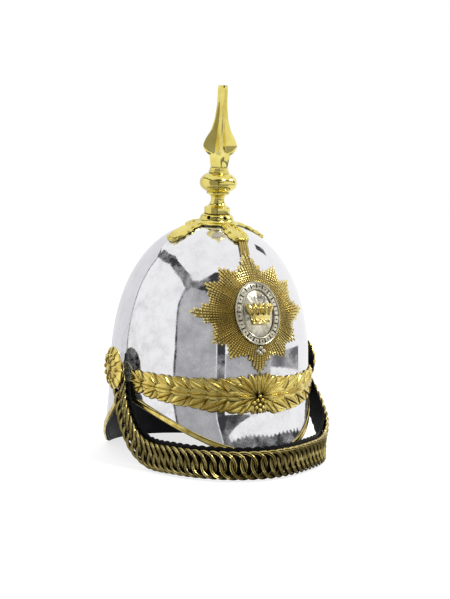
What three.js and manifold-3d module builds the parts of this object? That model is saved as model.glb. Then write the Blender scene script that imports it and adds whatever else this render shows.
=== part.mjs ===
// A dragoon helmet of silvered steel, standing on a table with its chin chain laid round its front peak.
// Millimetres, +Z up. The front looks along -Y and the wearer's left is +X.
// The origin is on the table, in the middle of the whole part's outline seen from above.

import * as THREE from "three";
import { mergeVertices } from "three/addons/utils/BufferGeometryUtils.js";
import Module from "manifold-3d";

const wasm = await Module();
wasm.setup();

// Driving dimensions of the skull
const SKULL_SEGMENTS = 36;
const DOME_ROWS = 6;
const PEAK_ROWS = 4;
const SKULL_HALF_WIDTH = 96.5;
const SKULL_FRONT = 110;
const SKULL_REAR = 123;
const SKULL_HEIGHT = 150;
const SKULL_FULLNESS = 2.2;
const SKULL_WALL = 1.5;
const BROW_ABOVE_TABLE = 85;
const PITCH = THREE.MathUtils.degToRad(6.4);

// Peaks: how far they reach below the brow and how far they flare
const FRONT_PEAK_DROP = 57;
const FRONT_PEAK_FLARE = 26;
const EAR_DROP = 19;
const REAR_PEAK_DROP = 100;
const REAR_PEAK_FLARE = 30;
const REAR_EDGE_ABOVE_TABLE = 1.6;
const REAR_CORNER_ANGLE = THREE.MathUtils.degToRad(40);
const PEAK_FLARE_CURVE = 1.8;

// Binding, linings and the gap between pieces that touch
const GAP = 0.3;
const BINDING_HEIGHT = 5;
const BINDING_THICKNESS = 1;
const BINDING_CLEARANCE = 0.5;
const LINING_THICKNESS = 1.2;
const LINING_CLEARANCE = 0.7;

// Laurel wreath above the front peak
const WREATH_CENTRE_EAR = -1;
const WREATH_CENTRE_FRONT = -3;
const WREATH_HEIGHT_EAR = 20;
const WREATH_HEIGHT_FRONT = 36;
const WREATH_END_ANGLE = THREE.MathUtils.degToRad(78);
const WREATH_BAND_THICKNESS = 1.2;
const WREATH_RELIEF = 3.6;
const WREATH_TUFTS = 7;

// Side rosettes, each on a post that carries the chain
const ROSETTE_RADIUS = 21.5;
const ROSETTE_DEPTH = 7.5;
const ROSETTE_PETALS = 12;
const ROSETTE_Y = -5;
const ROSETTE_HEIGHT = 7.5;
const POST_RADIUS = 3;
const POST_LENGTH = 9.6;

// Star badge on the front of the skull
const STAR_CENTRE_HEIGHT = 73.5;
const STAR_HALF_WIDTH = 57;
const STAR_HALF_HEIGHT = 53.5;
const STAR_THICKNESS = 1.6;
const STAR_CLEARANCE = 1.2;
const OVAL_HALF_WIDTH = 22;
const OVAL_HALF_HEIGHT = 28;
const OVAL_BAND_WIDTH = 7;
const OVAL_BAND_THICKNESS = 2;
const CORONET_WIDTH = 21;
const CORONET_HEIGHT = 19;
const CORONET_THICKNESS = 1.6;

// Crosspiece on the crown
const ARM_WIDTH = 14.5;
const ARM_THICKNESS = 4;
const BASE_RADIUS = 20;
const BASE_HEIGHT = 8.4;
const VENT_RADIUS = 2.2;
const VENT_COUNT = 6;
const LINK_STRIP_WIDTH = 6;
const LINK_STRIP_LENGTH = 10.5;
const LINK_STRIP_GAP = 1;

// Finial: knop and spike
const KNOP_RADIUS = 18.7;
const COLLAR_RADIUS = 13;
const NECK_RADIUS = 6.6;
const KNOP_PIECE_HEIGHT = 46;
const SPIKE_HEIGHT = 81;
const SPIKE_LUG_REACH = 17;
const SPIKE_TURN = THREE.MathUtils.degToRad(-21);
const COLLAR_HEIGHT = 6.4;

// Chin chain of round links, and the leather behind it
const LINK_RADIUS = 11.9;
const LINK_WIRE = 1.35;
const LINK_TWIST = 1.85;
const LINK_PITCH = 9.6;
const LINK_SEGMENTS = 10;
const LINK_SIDES = 5;
const LEATHER_WIDTH = 20;
const LEATHER_THICKNESS = 1.4;
const LEATHER_START = 50;
const CHAIN_FACES_FROM = 60;

// The chain's route between the two posts: how far across, as a share of the posts' distance from the middle,
// how far forward, as a share of the skull's front, and how far it is lifted off the table towards the posts
const CHAIN_ROUTE = [
  { across: -1.0085, forward: 0.1273, lift: 0.6546 },
  { across: -1.0187, forward: 0.2636, lift: 0.39 },
  { across: -0.999, forward: 0.4091, lift: 0.1532 },
  { across: -0.9547, forward: 0.6091, lift: 0.0139 },
  { across: -0.8661, forward: 1, lift: 0 },
  { across: -0.7283, forward: 1.2818, lift: 0 },
  { across: -0.4921, forward: 1.4909, lift: 0 },
  { across: -0.1969, forward: 1.5455, lift: 0 },
  { across: 0.0886, forward: 1.4545, lift: 0 },
  { across: 0.374, forward: 1.2727, lift: 0 },
  { across: 0.6398, forward: 1.0455, lift: 0 },
  { across: 0.8366, forward: 0.7818, lift: 0.0209 },
  { across: 0.9744, forward: 0.5545, lift: 0.195 },
  { across: 1.0187, forward: 0.3, lift: 0.5293 },
  { across: 1.0065, forward: 0.1364, lift: 0.78 },
];

const GOLD = { color: 0xd9a938, roughness: 0.2, metalness: 1 };
const OLD_GOLD = { color: 0xb08c3c, roughness: 0.35, metalness: 1 };
const SILVER = { color: 0xd8d8dc, roughness: 0.12, metalness: 1 };
const PALE_SILVER = { color: 0xcfc9b4, roughness: 0.35, metalness: 1 };
const BRASS = { color: 0xa89150, roughness: 0.3, metalness: 1 };
const LEATHER = { color: 0x0d0b0e, roughness: 0.6, metalness: 0 };

// Turns any closed geometry into one indexed body whose faces point out.
function closed(geometry) {
  const bare = geometry.index ? geometry.clone() : geometry;
  bare.deleteAttribute("normal");
  bare.deleteAttribute("uv");
  const merged = mergeVertices(bare, 1e-4);
  const kept = [];
  const index = merged.index.array;
  for (let i = 0; i < index.length; i += 3) {
    const [a, b, c] = [index[i], index[i + 1], index[i + 2]];
    if (a !== b && b !== c && c !== a) {
      kept.push(a, b, c);
    }
  }
  merged.setIndex(kept);
  if (signedVolume(merged) < 0) {
    merged.setIndex(kept.reverse());
  }
  return merged;
}

function signedVolume(geometry) {
  const position = geometry.attributes.position;
  const corner = [new THREE.Vector3(), new THREE.Vector3(), new THREE.Vector3()];
  let sum = 0;
  for (let i = 0; i < geometry.index.count; i += 3) {
    corner.forEach((point, k) => point.fromBufferAttribute(position, geometry.index.getX(i + k)));
    sum += corner[0].dot(corner[1].clone().cross(corner[2])) / 6;
  }
  return sum;
}

// Moves every point of a geometry by a function from Vector3 to Vector3.
function bent(geometry, move) {
  const position = geometry.attributes.position;
  const point = new THREE.Vector3();
  for (let i = 0; i < position.count; i += 1) {
    point.fromBufferAttribute(position, i);
    const moved = move(point.clone());
    position.setXYZ(i, moved.x, moved.y, moved.z);
  }
  return closed(geometry);
}

function toManifold(geometry) {
  const vertProperties = new Float32Array(geometry.attributes.position.array);
  const triVerts = new Uint32Array(geometry.index.array);
  const mesh = new wasm.Mesh({ numProp: 3, vertProperties, triVerts });
  mesh.merge();
  return new wasm.Manifold(mesh);
}

function fromManifold(solid) {
  const mesh = solid.getMesh();
  const geometry = new THREE.BufferGeometry();
  geometry.setAttribute("position", new THREE.BufferAttribute(mesh.vertProperties, 3));
  geometry.setIndex(new THREE.BufferAttribute(mesh.triVerts, 1));
  return closed(geometry);
}

function joined(geometries) {
  return fromManifold(geometries.map(toManifold).reduce((sum, solid) => sum.add(solid)));
}

function cut(geometry, tools) {
  return fromManifold(tools.map(toManifold).reduce((rest, tool) => rest.subtract(tool), toManifold(geometry)));
}

function piece(name, geometry, finish) {
  const mesh = new THREE.Mesh(geometry, new THREE.MeshStandardMaterial(finish));
  mesh.name = name;
  return mesh;
}

// The skull's outline at a height above the brow, as a share of its outline at the brow
function fullness(height) {
  const share = THREE.MathUtils.clamp(height / SKULL_HEIGHT, 0, 1);
  return (1 - share ** SKULL_FULLNESS) ** (1 / SKULL_FULLNESS);
}

// The lower edge's height against the brow, round the skull. The angle is 0 at the front and pi at the back.
function edgeHeight(angle) {
  const fromFront = Math.abs(THREE.MathUtils.euclideanModulo(angle + Math.PI, 2 * Math.PI) - Math.PI);
  if (fromFront < Math.PI / 2) {
    return -FRONT_PEAK_DROP + (FRONT_PEAK_DROP - EAR_DROP) * Math.sin(fromFront) ** 2;
  }
  const fromBack = Math.PI - fromFront;
  const y = (SKULL_REAR + REAR_PEAK_FLARE) * Math.cos(fromBack);
  const atTable = (REAR_EDGE_ABOVE_TABLE - BROW_ABOVE_TABLE - y * Math.sin(PITCH)) / Math.cos(PITCH);
  const rise = Math.max(0, (fromBack - REAR_CORNER_ANGLE) / (Math.PI / 2 - REAR_CORNER_ANGLE));
  const share = 0.75 * rise + 0.25 * rise ** 8;
  return atTable * (1 - share) - EAR_DROP * share;
}

// A point of the skull and its peaks, in the helmet's own frame
function skullBase(angle, height) {
  const k = fullness(height);
  const front = Math.cos(angle) > 0;
  const below = Math.max(0, -height) / (front ? FRONT_PEAK_DROP : REAR_PEAK_DROP);
  const flare = below ** PEAK_FLARE_CURVE * (front ? FRONT_PEAK_FLARE : REAR_PEAK_FLARE);
  const depth = (front ? SKULL_FRONT : SKULL_REAR) * k + flare;
  return new THREE.Vector3(SKULL_HALF_WIDTH * k * Math.sin(angle), -depth * Math.cos(angle), height);
}

function skullNormal(angle, height) {
  const step = 0.01;
  const climb = SKULL_HEIGHT / 750;
  const low = Math.min(height, SKULL_HEIGHT - 5 * climb);
  const around = skullBase(angle + step, low).sub(skullBase(angle - step, low));
  const up = skullBase(angle, low + climb).sub(skullBase(angle, low - climb));
  return around.cross(up).normalize();
}

function onSkull(angle, height, offset) {
  return skullBase(angle, height).addScaledVector(skullNormal(angle, height), offset);
}

// A point on the front of the skull, by its distance to the side and its height above the brow
function onFront(side, height, offset) {
  const share = THREE.MathUtils.clamp(side / (SKULL_HALF_WIDTH * fullness(height)), -1, 1);
  return onSkull(Math.asin(share), height, offset);
}

// A point on the crown, by its place seen from above
function onCrown(x, y, offset) {
  const depth = y < 0 ? SKULL_FRONT : SKULL_REAR;
  const share = Math.hypot(x / SKULL_HALF_WIDTH, y / depth);
  const z = SKULL_HEIGHT * (1 - share ** SKULL_FULLNESS) ** (1 / SKULL_FULLNESS);
  const gradient = share ** (SKULL_FULLNESS - 2) / SKULL_HEIGHT ** -SKULL_FULLNESS / z ** (SKULL_FULLNESS - 1);
  const normal = new THREE.Vector3(
    gradient * x / SKULL_HALF_WIDTH ** 2,
    gradient * y / depth ** 2,
    1,
  ).normalize();
  return new THREE.Vector3(x, y, z).addScaledVector(normal, offset);
}

// The skull is one thin shell: rows from the crown down to the edge outside, and back up inside.
function skullGeometry() {
  const rows = [];
  for (let i = 0; i <= DOME_ROWS; i += 1) {
    rows.push({ dome: Math.cos((i / DOME_ROWS) * Math.PI / 2), peak: 0 });
  }
  for (let i = 1; i <= PEAK_ROWS; i += 1) {
    rows.push({ dome: 0, peak: i / PEAK_ROWS });
  }
  const profile = rows.map((row, i) => new THREE.Vector2(i === 0 ? 0 : 1, i));
  const inside = rows.map((row, i) => new THREE.Vector2(i === 0 ? 0 : 1, -1 - i)).reverse();
  const shell = new THREE.LatheGeometry([...profile, ...inside], SKULL_SEGMENTS);
  return bent(shell, (point) => {
    const inner = point.y < -0.5;
    const row = rows[Math.round(inner ? -1 - point.y : point.y)];
    const angle = Math.atan2(point.x, point.z);
    const offset = inner ? -SKULL_WALL : 0;
    if (row.dome === 1) {
      return new THREE.Vector3(0, 0, SKULL_HEIGHT + offset);
    }
    const height = row.peak > 0 ? row.peak * edgeHeight(angle) : row.dome * SKULL_HEIGHT;
    return onSkull(angle, height, offset);
  });
}

// A U section folded over the skull's edge between two angles
function bindingGeometry(from, to, steps) {
  const outer = BINDING_CLEARANCE + BINDING_THICKNESS;
  const inner = -SKULL_WALL - BINDING_CLEARANCE;
  const section = new THREE.Shape();
  section.moveTo(BINDING_CLEARANCE, BINDING_HEIGHT);
  section.lineTo(BINDING_CLEARANCE, -BINDING_CLEARANCE);
  section.lineTo(inner, -BINDING_CLEARANCE);
  section.lineTo(inner, BINDING_HEIGHT * 0.5);
  section.lineTo(inner - BINDING_THICKNESS, BINDING_HEIGHT * 0.5);
  section.lineTo(inner - BINDING_THICKNESS, -outer);
  section.lineTo(outer, -outer);
  section.lineTo(outer, BINDING_HEIGHT);
  const strip = new THREE.ExtrudeGeometry(section, { depth: 1, steps, bevelEnabled: false });
  return bent(strip, (point) => {
    const angle = from + (to - from) * point.z;
    return onSkull(angle, edgeHeight(angle) + point.y, point.x);
  });
}

// A thin lining under a peak, from just above the binding up to the first row of the skull below the brow
function liningGeometry(from, to, steps) {
  const sheet = new THREE.BoxGeometry(1, 1, 1, steps, PEAK_ROWS - 1, 1);
  return bent(sheet, (point) => {
    const angle = from + (to - from) * (point.x + 0.5);
    const row = Math.round((0.5 - point.y) * (PEAK_ROWS - 1)) + 1;
    const low = edgeHeight(angle) + BINDING_HEIGHT * 0.5 + 2 * GAP;
    const height = row === PEAK_ROWS ? low : edgeHeight(angle) * (row / PEAK_ROWS);
    const depth = SKULL_WALL + LINING_CLEARANCE + LINING_THICKNESS * (0.5 - point.z);
    return onSkull(angle, height, -depth);
  });
}

// Wreath height and centre line at a share of the way from the front to the ear
function wreathCentre(share) {
  return THREE.MathUtils.lerp(WREATH_CENTRE_FRONT, WREATH_CENTRE_EAR, share);
}

function wreathHeight(share) {
  return THREE.MathUtils.lerp(WREATH_HEIGHT_FRONT, WREATH_HEIGHT_EAR, share);
}

function leafGeometry(side, share, slant, length, width, lift) {
  const leaf = new THREE.OctahedronGeometry(0.5);
  const arc = SKULL_HALF_WIDTH * 1.1;
  return bent(leaf, (point) => {
    const along = point.x * length;
    const across = point.y * width;
    const run = along * Math.cos(slant) - across * Math.sin(slant);
    const climb = along * Math.sin(slant) + across * Math.cos(slant);
    const angle = side * (share * WREATH_END_ANGLE + run / arc);
    const height = wreathCentre(share) + lift + climb;
    const offset = point.z > 0.4 ? WREATH_RELIEF : point.z < -0.4 ? GAP + 0.5 : 1.5;
    return onSkull(angle, height, offset);
  });
}

// One branch: a plain band with tufts of three leaves that point to the ear
function wreathBranch(side) {
  const band = new THREE.BoxGeometry(1, 1, 1, 12, 1, 1);
  const strip = bent(band, (point) => {
    const share = point.x + 0.5;
    const angle = side * share * WREATH_END_ANGLE;
    const height = wreathCentre(share) + point.y * wreathHeight(share) * 0.55;
    const offset = GAP + 0.3 + WREATH_BAND_THICKNESS * (point.z + 0.5);
    return onSkull(angle, height, offset);
  });
  const leaves = [];
  for (let i = 0; i < WREATH_TUFTS; i += 1) {
    const share = 0.1 + 0.84 * (i / (WREATH_TUFTS - 1));
    const height = wreathHeight(share);
    const length = height * 0.82;
    leaves.push(leafGeometry(side, share, 0.62, length, height * 0.38, height * 0.22));
    leaves.push(leafGeometry(side, share + 0.03, 0, length, height * 0.38, 0));
    leaves.push(leafGeometry(side, share, -0.62, length, height * 0.38, -height * 0.22));
  }
  return [strip, ...leaves];
}

// The wreath is one stamping: two branches, and a cluster of berries where their stems meet
function wreathGeometry() {
  const berries = [
    { side: 0, up: 4, size: 6.5 },
    { side: -3.2, up: -5, size: 4 },
    { side: 3.2, up: -5, size: 4 },
    { side: 0, up: -10, size: 4 },
  ];
  const beads = berries.map((berry) => {
    const bead = new THREE.SphereGeometry(berry.size, 7, 4);
    return bent(bead, (point) => onFront(
      berry.side + point.x,
      WREATH_CENTRE_FRONT + berry.up + point.y,
      GAP + 0.2 + WREATH_RELIEF * (0.5 + 0.5 * point.z / berry.size),
    ));
  });
  return joined([...wreathBranch(-1), ...wreathBranch(1), ...beads]);
}

// A domed rosette of petals with a post behind it, standing on the side of the skull
function rosetteGeometry(side) {
  const rings = [
    { reach: 0, rise: 1 },
    { reach: 0.3, rise: 0.94 },
    { reach: 0.34, rise: 0.74 },
    { reach: 0.72, rise: 0.62 },
    { reach: 1, rise: 0.2 },
    { reach: 0.98, rise: 0 },
  ];
  const profile = rings.map((ring) => new THREE.Vector2(ring.reach * ROSETTE_RADIUS, ring.rise * ROSETTE_DEPTH));
  profile.push(new THREE.Vector2(0, 0));
  const dome = bent(new THREE.LatheGeometry(profile.reverse(), ROSETTE_PETALS * 2), (point) => {
    const petal = Math.round(Math.atan2(point.x, point.z) / (Math.PI / ROSETTE_PETALS)) % 2 === 0;
    const reach = Math.hypot(point.x, point.z) / ROSETTE_RADIUS;
    const shrink = petal || reach < 0.9 ? 1 : 0.9;
    return new THREE.Vector3(point.x * shrink, point.y, point.z * shrink);
  });
  const post = new THREE.CylinderGeometry(POST_RADIUS, POST_RADIUS, POST_LENGTH + 1, 12);
  post.translate(0, 0.5 - POST_LENGTH / 2, 0);
  const whole = joined([dome, closed(post)]);
  whole.rotateZ(-side * Math.PI / 2);
  whole.translate(side * (SKULL_HALF_WIDTH + GAP + POST_LENGTH), 0, 0);
  return closed(whole);
}

// Star outline: reach of the plate at angles through one quarter, as a share of its half width
const STAR_OUTLINE = [
  { degrees: 0, reach: 1 },
  { degrees: 17, reach: 0.73 },
  { degrees: 32, reach: 0.9 },
  { degrees: 45, reach: 0.76 },
  { degrees: 58, reach: 0.9 },
  { degrees: 73, reach: 0.73 },
];

function starGeometry() {
  const rings = [0, 0.25, 0.5, 0.75, 1];
  const spokes = STAR_OUTLINE.length * 4;
  const top = rings.map((ring, i) => new THREE.Vector2(ring, i));
  const under = rings.map((ring, i) => new THREE.Vector2(ring, -1 - i)).reverse();
  const plate = new THREE.LatheGeometry([...top, ...under], spokes);
  return bent(plate, (point) => {
    const ring = Math.hypot(point.x, point.z);
    const turn = Math.round((Math.atan2(point.x, point.z) / (2 * Math.PI)) * spokes + spokes) % spokes;
    const row = STAR_OUTLINE[turn % STAR_OUTLINE.length];
    const angle = THREE.MathUtils.degToRad(row.degrees + 90 * Math.floor(turn / STAR_OUTLINE.length));
    const side = ring * row.reach * STAR_HALF_WIDTH * Math.sin(angle);
    const up = ring * row.reach * STAR_HALF_HEIGHT * Math.cos(angle);
    const ridge = row.reach > 0.85 ? 1.2 : 0;
    const lift = point.y < -0.5 ? 0 : STAR_THICKNESS + ridge * ring * (1 - ring) * 4;
    return onFront(side, STAR_CENTRE_HEIGHT + up, STAR_CLEARANCE + lift);
  });
}

const OVAL_SEAT = STAR_CLEARANCE + STAR_THICKNESS + 1.6;

function ovalBandGeometry() {
  const section = [
    new THREE.Vector2(1, 0),
    new THREE.Vector2(1, 1),
    new THREE.Vector2(0, 1),
    new THREE.Vector2(0, 0),
    new THREE.Vector2(1, 0),
  ];
  const lifted = section.map((corner) => new THREE.Vector2(corner.x + 1, corner.y));
  return bent(new THREE.LatheGeometry(lifted, 28), (point) => {
    const across = Math.hypot(point.x, point.z) - 1;
    const angle = Math.atan2(point.x, point.z);
    const inward = OVAL_BAND_WIDTH * (1 - across);
    const side = (OVAL_HALF_WIDTH - inward) * Math.sin(angle);
    const up = (OVAL_HALF_HEIGHT - inward) * Math.cos(angle);
    return onFront(side, STAR_CENTRE_HEIGHT + up, OVAL_SEAT + OVAL_BAND_THICKNESS * point.y);
  });
}

// The domed ground inside the oval band
function groundGeometry() {
  const halfWidth = OVAL_HALF_WIDTH - OVAL_BAND_WIDTH - GAP;
  const halfHeight = OVAL_HALF_HEIGHT - OVAL_BAND_WIDTH - GAP;
  const rows = [
    { ring: 0, up: 1 },
    { ring: 0.5, up: 0.9 },
    { ring: 1, up: 0.3 },
    { ring: 1, up: 0 },
    { ring: 0.5, up: 0 },
    { ring: 0, up: 0 },
  ];
  const profile = rows.map((row) => new THREE.Vector2(row.ring, row.up));
  return bent(new THREE.LatheGeometry(profile, 20), (point) => {
    const ring = Math.hypot(point.x, point.z);
    const angle = Math.atan2(point.x, point.z);
    const side = ring * halfWidth * Math.sin(angle);
    const up = ring * halfHeight * Math.cos(angle);
    return onFront(side, STAR_CENTRE_HEIGHT + up, OVAL_SEAT + OVAL_BAND_THICKNESS * point.y);
  });
}

// A plain open coronet: a curved rim with five points, each ending in a ball
function coronetGeometry() {
  const seat = OVAL_SEAT + OVAL_BAND_THICKNESS + GAP + 0.3;
  const low = STAR_CENTRE_HEIGHT - CORONET_HEIGHT / 2;
  const crown = new THREE.Shape();
  const half = CORONET_WIDTH / 2;
  const points = 5;
  crown.moveTo(-half * 0.72, 0);
  crown.lineTo(half * 0.72, 0);
  for (let i = 0; i < points; i += 1) {
    const across = half * (1 - (2 * i) / (points - 1));
    crown.lineTo(across, CORONET_HEIGHT * 0.78);
    if (i < points - 1) {
      crown.lineTo((across - half / (points - 1)) * 0.86, CORONET_HEIGHT * 0.42);
    }
  }
  const body = new THREE.ExtrudeGeometry(crown, { depth: CORONET_THICKNESS, bevelEnabled: false });
  const curve = (side, up, lift) => onFront(side, low + up, seat + lift);
  const parts = [bent(body, (point) => curve(point.x, point.y, point.z))];
  for (let i = 0; i < points; i += 1) {
    const ball = new THREE.SphereGeometry(1.7, 6, 3);
    const across = half * (1 - (2 * i) / (points - 1));
    const up = CORONET_HEIGHT * 0.82;
    parts.push(bent(ball, (point) => curve(across + point.x, up + point.y, 1.7 + point.z)));
  }
  return joined(parts);
}

// Half width of an arm at shares of its length: narrow at the base, a leafy swelling, a waist and a scroll
const ARM_OUTLINE = [
  { along: 0, half: 0.5 },
  { along: 0.3, half: 0.34 },
  { along: 0.62, half: 0.5 },
  { along: 0.84, half: 0.3 },
  { along: 1, half: 0.12 },
];

// The strip ends just above the star, and the arms end just above the strip
function stripEnd() {
  return SKULL_FRONT * fullness(STAR_CENTRE_HEIGHT + STAR_HALF_HEIGHT) - 2 * GAP - STAR_CLEARANCE;
}

function armReach() {
  return stripEnd() - LINK_STRIP_LENGTH - LINK_STRIP_GAP;
}

function armGeometry(angle) {
  const steps = ARM_OUTLINE.length - 1;
  const arm = new THREE.BoxGeometry(1, 1, 1, steps, 2, 1);
  const start = BASE_RADIUS * 0.5;
  const end = armReach();
  return bent(arm, (point) => {
    const row = ARM_OUTLINE[Math.round((point.x + 0.5) * steps)];
    const reach = start + (end - start) * row.along;
    const across = point.y * 2 * row.half * ARM_WIDTH;
    const x = reach * Math.sin(angle) + across * Math.cos(angle);
    const y = -reach * Math.cos(angle) + across * Math.sin(angle);
    const crest = Math.abs(point.y) < 0.1 ? 1.2 : 0;
    const offset = GAP + 0.4 + (point.z > 0 ? ARM_THICKNESS - 1.2 + crest : 0);
    return onCrown(x, y, offset);
  });
}

function crosspieceGeometry() {
  const floor = SKULL_HEIGHT + GAP + 0.2;
  const rows = [
    { radius: 0, up: 0 },
    { radius: 1, up: 0 },
    { radius: 1, up: 0.22 },
    { radius: 0.86, up: 0.6 },
    { radius: 0.72, up: 1 },
    { radius: 0, up: 1 },
  ];
  const profile = rows.map((row) => new THREE.Vector2(row.radius * BASE_RADIUS, row.up * BASE_HEIGHT));
  const base = new THREE.LatheGeometry(profile, 18);
  base.rotateX(Math.PI / 2);
  base.translate(0, 0, floor);
  const arms = [0, 1, 2, 3].map((quarter) => armGeometry(quarter * Math.PI / 2));
  const whole = joined([closed(base), ...arms]);
  const vents = [];
  for (let i = 0; i < VENT_COUNT; i += 1) {
    const turn = ((i + 0.5) / VENT_COUNT) * 2 * Math.PI;
    const vent = new THREE.CylinderGeometry(VENT_RADIUS, VENT_RADIUS, 10, 6);
    vent.translate(0, -BASE_RADIUS * 0.83, 0);
    vent.rotateZ(turn);
    vent.translate(0, 0, floor + BASE_HEIGHT * 0.6);
    vents.push(closed(vent));
  }
  return cut(whole, vents);
}

// The beaded strip that runs from the crosspiece's front arm down to the star
function linkStripGeometry() {
  const from = stripEnd() - LINK_STRIP_LENGTH;
  const to = stripEnd();
  const strip = new THREE.BoxGeometry(1, 1, 1, 1, 4, 1);
  return bent(strip, (point) => {
    const reach = from + (to - from) * (point.y + 0.5);
    const offset = GAP + 0.4 + 1.6 * (point.z + 0.5);
    return onCrown(point.x * LINK_STRIP_WIDTH, -reach, offset);
  });
}

const FINIAL_SEAT = SKULL_HEIGHT + GAP + 0.2 + BASE_HEIGHT + GAP;

function knopGeometry() {
  const rows = [
    { radius: 0, up: 0 },
    { radius: COLLAR_RADIUS, up: 0 },
    { radius: COLLAR_RADIUS, up: COLLAR_HEIGHT },
    { radius: COLLAR_RADIUS * 0.7, up: COLLAR_HEIGHT + 1.6 },
    { radius: NECK_RADIUS, up: 12.5 },
    { radius: NECK_RADIUS, up: 17 },
    { radius: KNOP_RADIUS * 0.6, up: 20 },
    { radius: KNOP_RADIUS * 0.64, up: 23 },
    { radius: KNOP_RADIUS * 0.93, up: 26 },
    { radius: KNOP_RADIUS, up: 30.5 },
    { radius: KNOP_RADIUS * 0.93, up: 35 },
    { radius: KNOP_RADIUS * 0.66, up: 39.5 },
    { radius: KNOP_RADIUS * 0.5, up: 41 },
    { radius: KNOP_RADIUS * 0.5, up: KNOP_PIECE_HEIGHT },
    { radius: 0, up: KNOP_PIECE_HEIGHT },
  ];
  const knop = new THREE.LatheGeometry(rows.map((row) => new THREE.Vector2(row.radius, row.up)), 16);
  knop.rotateX(Math.PI / 2);
  knop.translate(0, 0, FINIAL_SEAT);
  return closed(knop);
}

// Spike: half width at shares of its height. The lugs are on the ridges only.
const SPIKE_ROWS = [
  { up: 0, half: 0.5, lug: 0.5 },
  { up: 0.07, half: 0.52, lug: 0.62 },
  { up: 0.15, half: 0.6, lug: 0.66 },
  { up: 0.23, half: 0.62, lug: 0.94 },
  { up: 0.3, half: 0.6, lug: 1 },
  { up: 0.38, half: 0.5, lug: 0.86 },
  { up: 0.48, half: 0.42, lug: 0.58 },
  { up: 0.62, half: 0.27, lug: 0.38 },
  { up: 0.8, half: 0.22, lug: 0.3 },
  { up: 0.97, half: 0.25, lug: 0.33 },
  { up: 1, half: 0.2, lug: 0.265 },
];

function spikeGeometry() {
  const profile = SPIKE_ROWS.map((row, i) => new THREE.Vector2(1, i));
  const closedProfile = [new THREE.Vector2(0, 0), ...profile, new THREE.Vector2(0, SPIKE_ROWS.length - 1)];
  const spike = bent(new THREE.LatheGeometry(closedProfile, 8), (point) => {
    const row = SPIKE_ROWS[Math.round(point.y)];
    const reach = Math.hypot(point.x, point.z);
    const angle = Math.atan2(point.x, point.z);
    const ridge = Math.round(angle / (Math.PI / 4) + 8) % 2 === 0;
    const radius = reach * SPIKE_LUG_REACH * (ridge ? row.lug : row.half * 0.8);
    return new THREE.Vector3(radius * Math.sin(angle), -radius * Math.cos(angle), row.up * SPIKE_HEIGHT);
  });
  spike.rotateZ(SPIKE_TURN);
  spike.translate(0, 0, FINIAL_SEAT + KNOP_PIECE_HEIGHT + GAP);
  return closed(spike);
}

// The chain's middle line: its end links hang on the rosettes' posts
function chainCurve() {
  const rest = LINK_RADIUS + LINK_WIRE;
  const postX = SKULL_HALF_WIDTH + GAP + POST_LENGTH / 2;
  const hang = LINK_RADIUS - LINK_WIRE - POST_RADIUS - GAP;
  const ends = [-1, 1].map((side) => helmetPoint(new THREE.Vector3(side * postX, ROSETTE_Y, ROSETTE_HEIGHT)));
  ends.forEach((end) => end.add(new THREE.Vector3(0, 0, -hang)));
  const route = CHAIN_ROUTE.map((point) => new THREE.Vector3(
    point.across * postX,
    -point.forward * SKULL_FRONT,
    THREE.MathUtils.lerp(rest, ends[0].z, point.lift),
  ));
  return new THREE.CatmullRomCurve3([ends[0], ...route, ends[1]], false, "centripetal");
}

// Directions along, across and out of the chain at a share of its length
function chainFrame(curve, share) {
  const centre = curve.getPointAt(share);
  const along = curve.getTangentAt(share).normalize();
  const away = new THREE.Vector3(centre.x, Math.min(0, centre.y + CHAIN_FACES_FROM), 0).normalize();
  const out = away.addScaledVector(along, -away.dot(along)).normalize();
  const across = new THREE.Vector3().crossVectors(out, along);
  return { centre, along, out, across };
}

function chainGeometry(curve) {
  const count = Math.ceil(curve.getLength() / LINK_PITCH);
  const links = [];
  for (let i = 0; i <= count; i += 1) {
    const { centre, along, out, across } = chainFrame(curve, i / count);
    const ring = new THREE.TorusGeometry(LINK_RADIUS, LINK_WIRE, LINK_SIDES, LINK_SEGMENTS);
    links.push(bent(ring, (point) => {
      const turn = Math.atan2(point.y, point.x);
      const lift = point.z + LINK_TWIST * Math.sin(2 * turn);
      return centre.clone()
        .addScaledVector(along, point.x)
        .addScaledVector(across, point.y)
        .addScaledVector(out, lift);
    }));
  }
  return joined(links);
}

function leatherGeometry(curve) {
  const trim = LEATHER_START / curve.getLength();
  const strip = new THREE.BoxGeometry(1, 1, 1, 36, 1, 1);
  const seat = LINK_TWIST + LINK_WIRE + GAP;
  return bent(strip, (point) => {
    const { centre, out, across } = chainFrame(curve, trim + (1 - 2 * trim) * (point.x + 0.5));
    return centre.clone()
      .addScaledVector(across, point.y * LEATHER_WIDTH)
      .addScaledVector(out, -seat - LEATHER_THICKNESS * (point.z + 0.5));
  });
}

// From the helmet's own frame to the table's
function helmetPoint(point) {
  return point.clone().applyAxisAngle(new THREE.Vector3(1, 0, 0), PITCH)
    .add(new THREE.Vector3(0, 0, BROW_ABOVE_TABLE));
}

const helmet = new THREE.Group();
helmet.rotation.x = PITCH;
helmet.position.z = BROW_ABOVE_TABLE;

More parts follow.
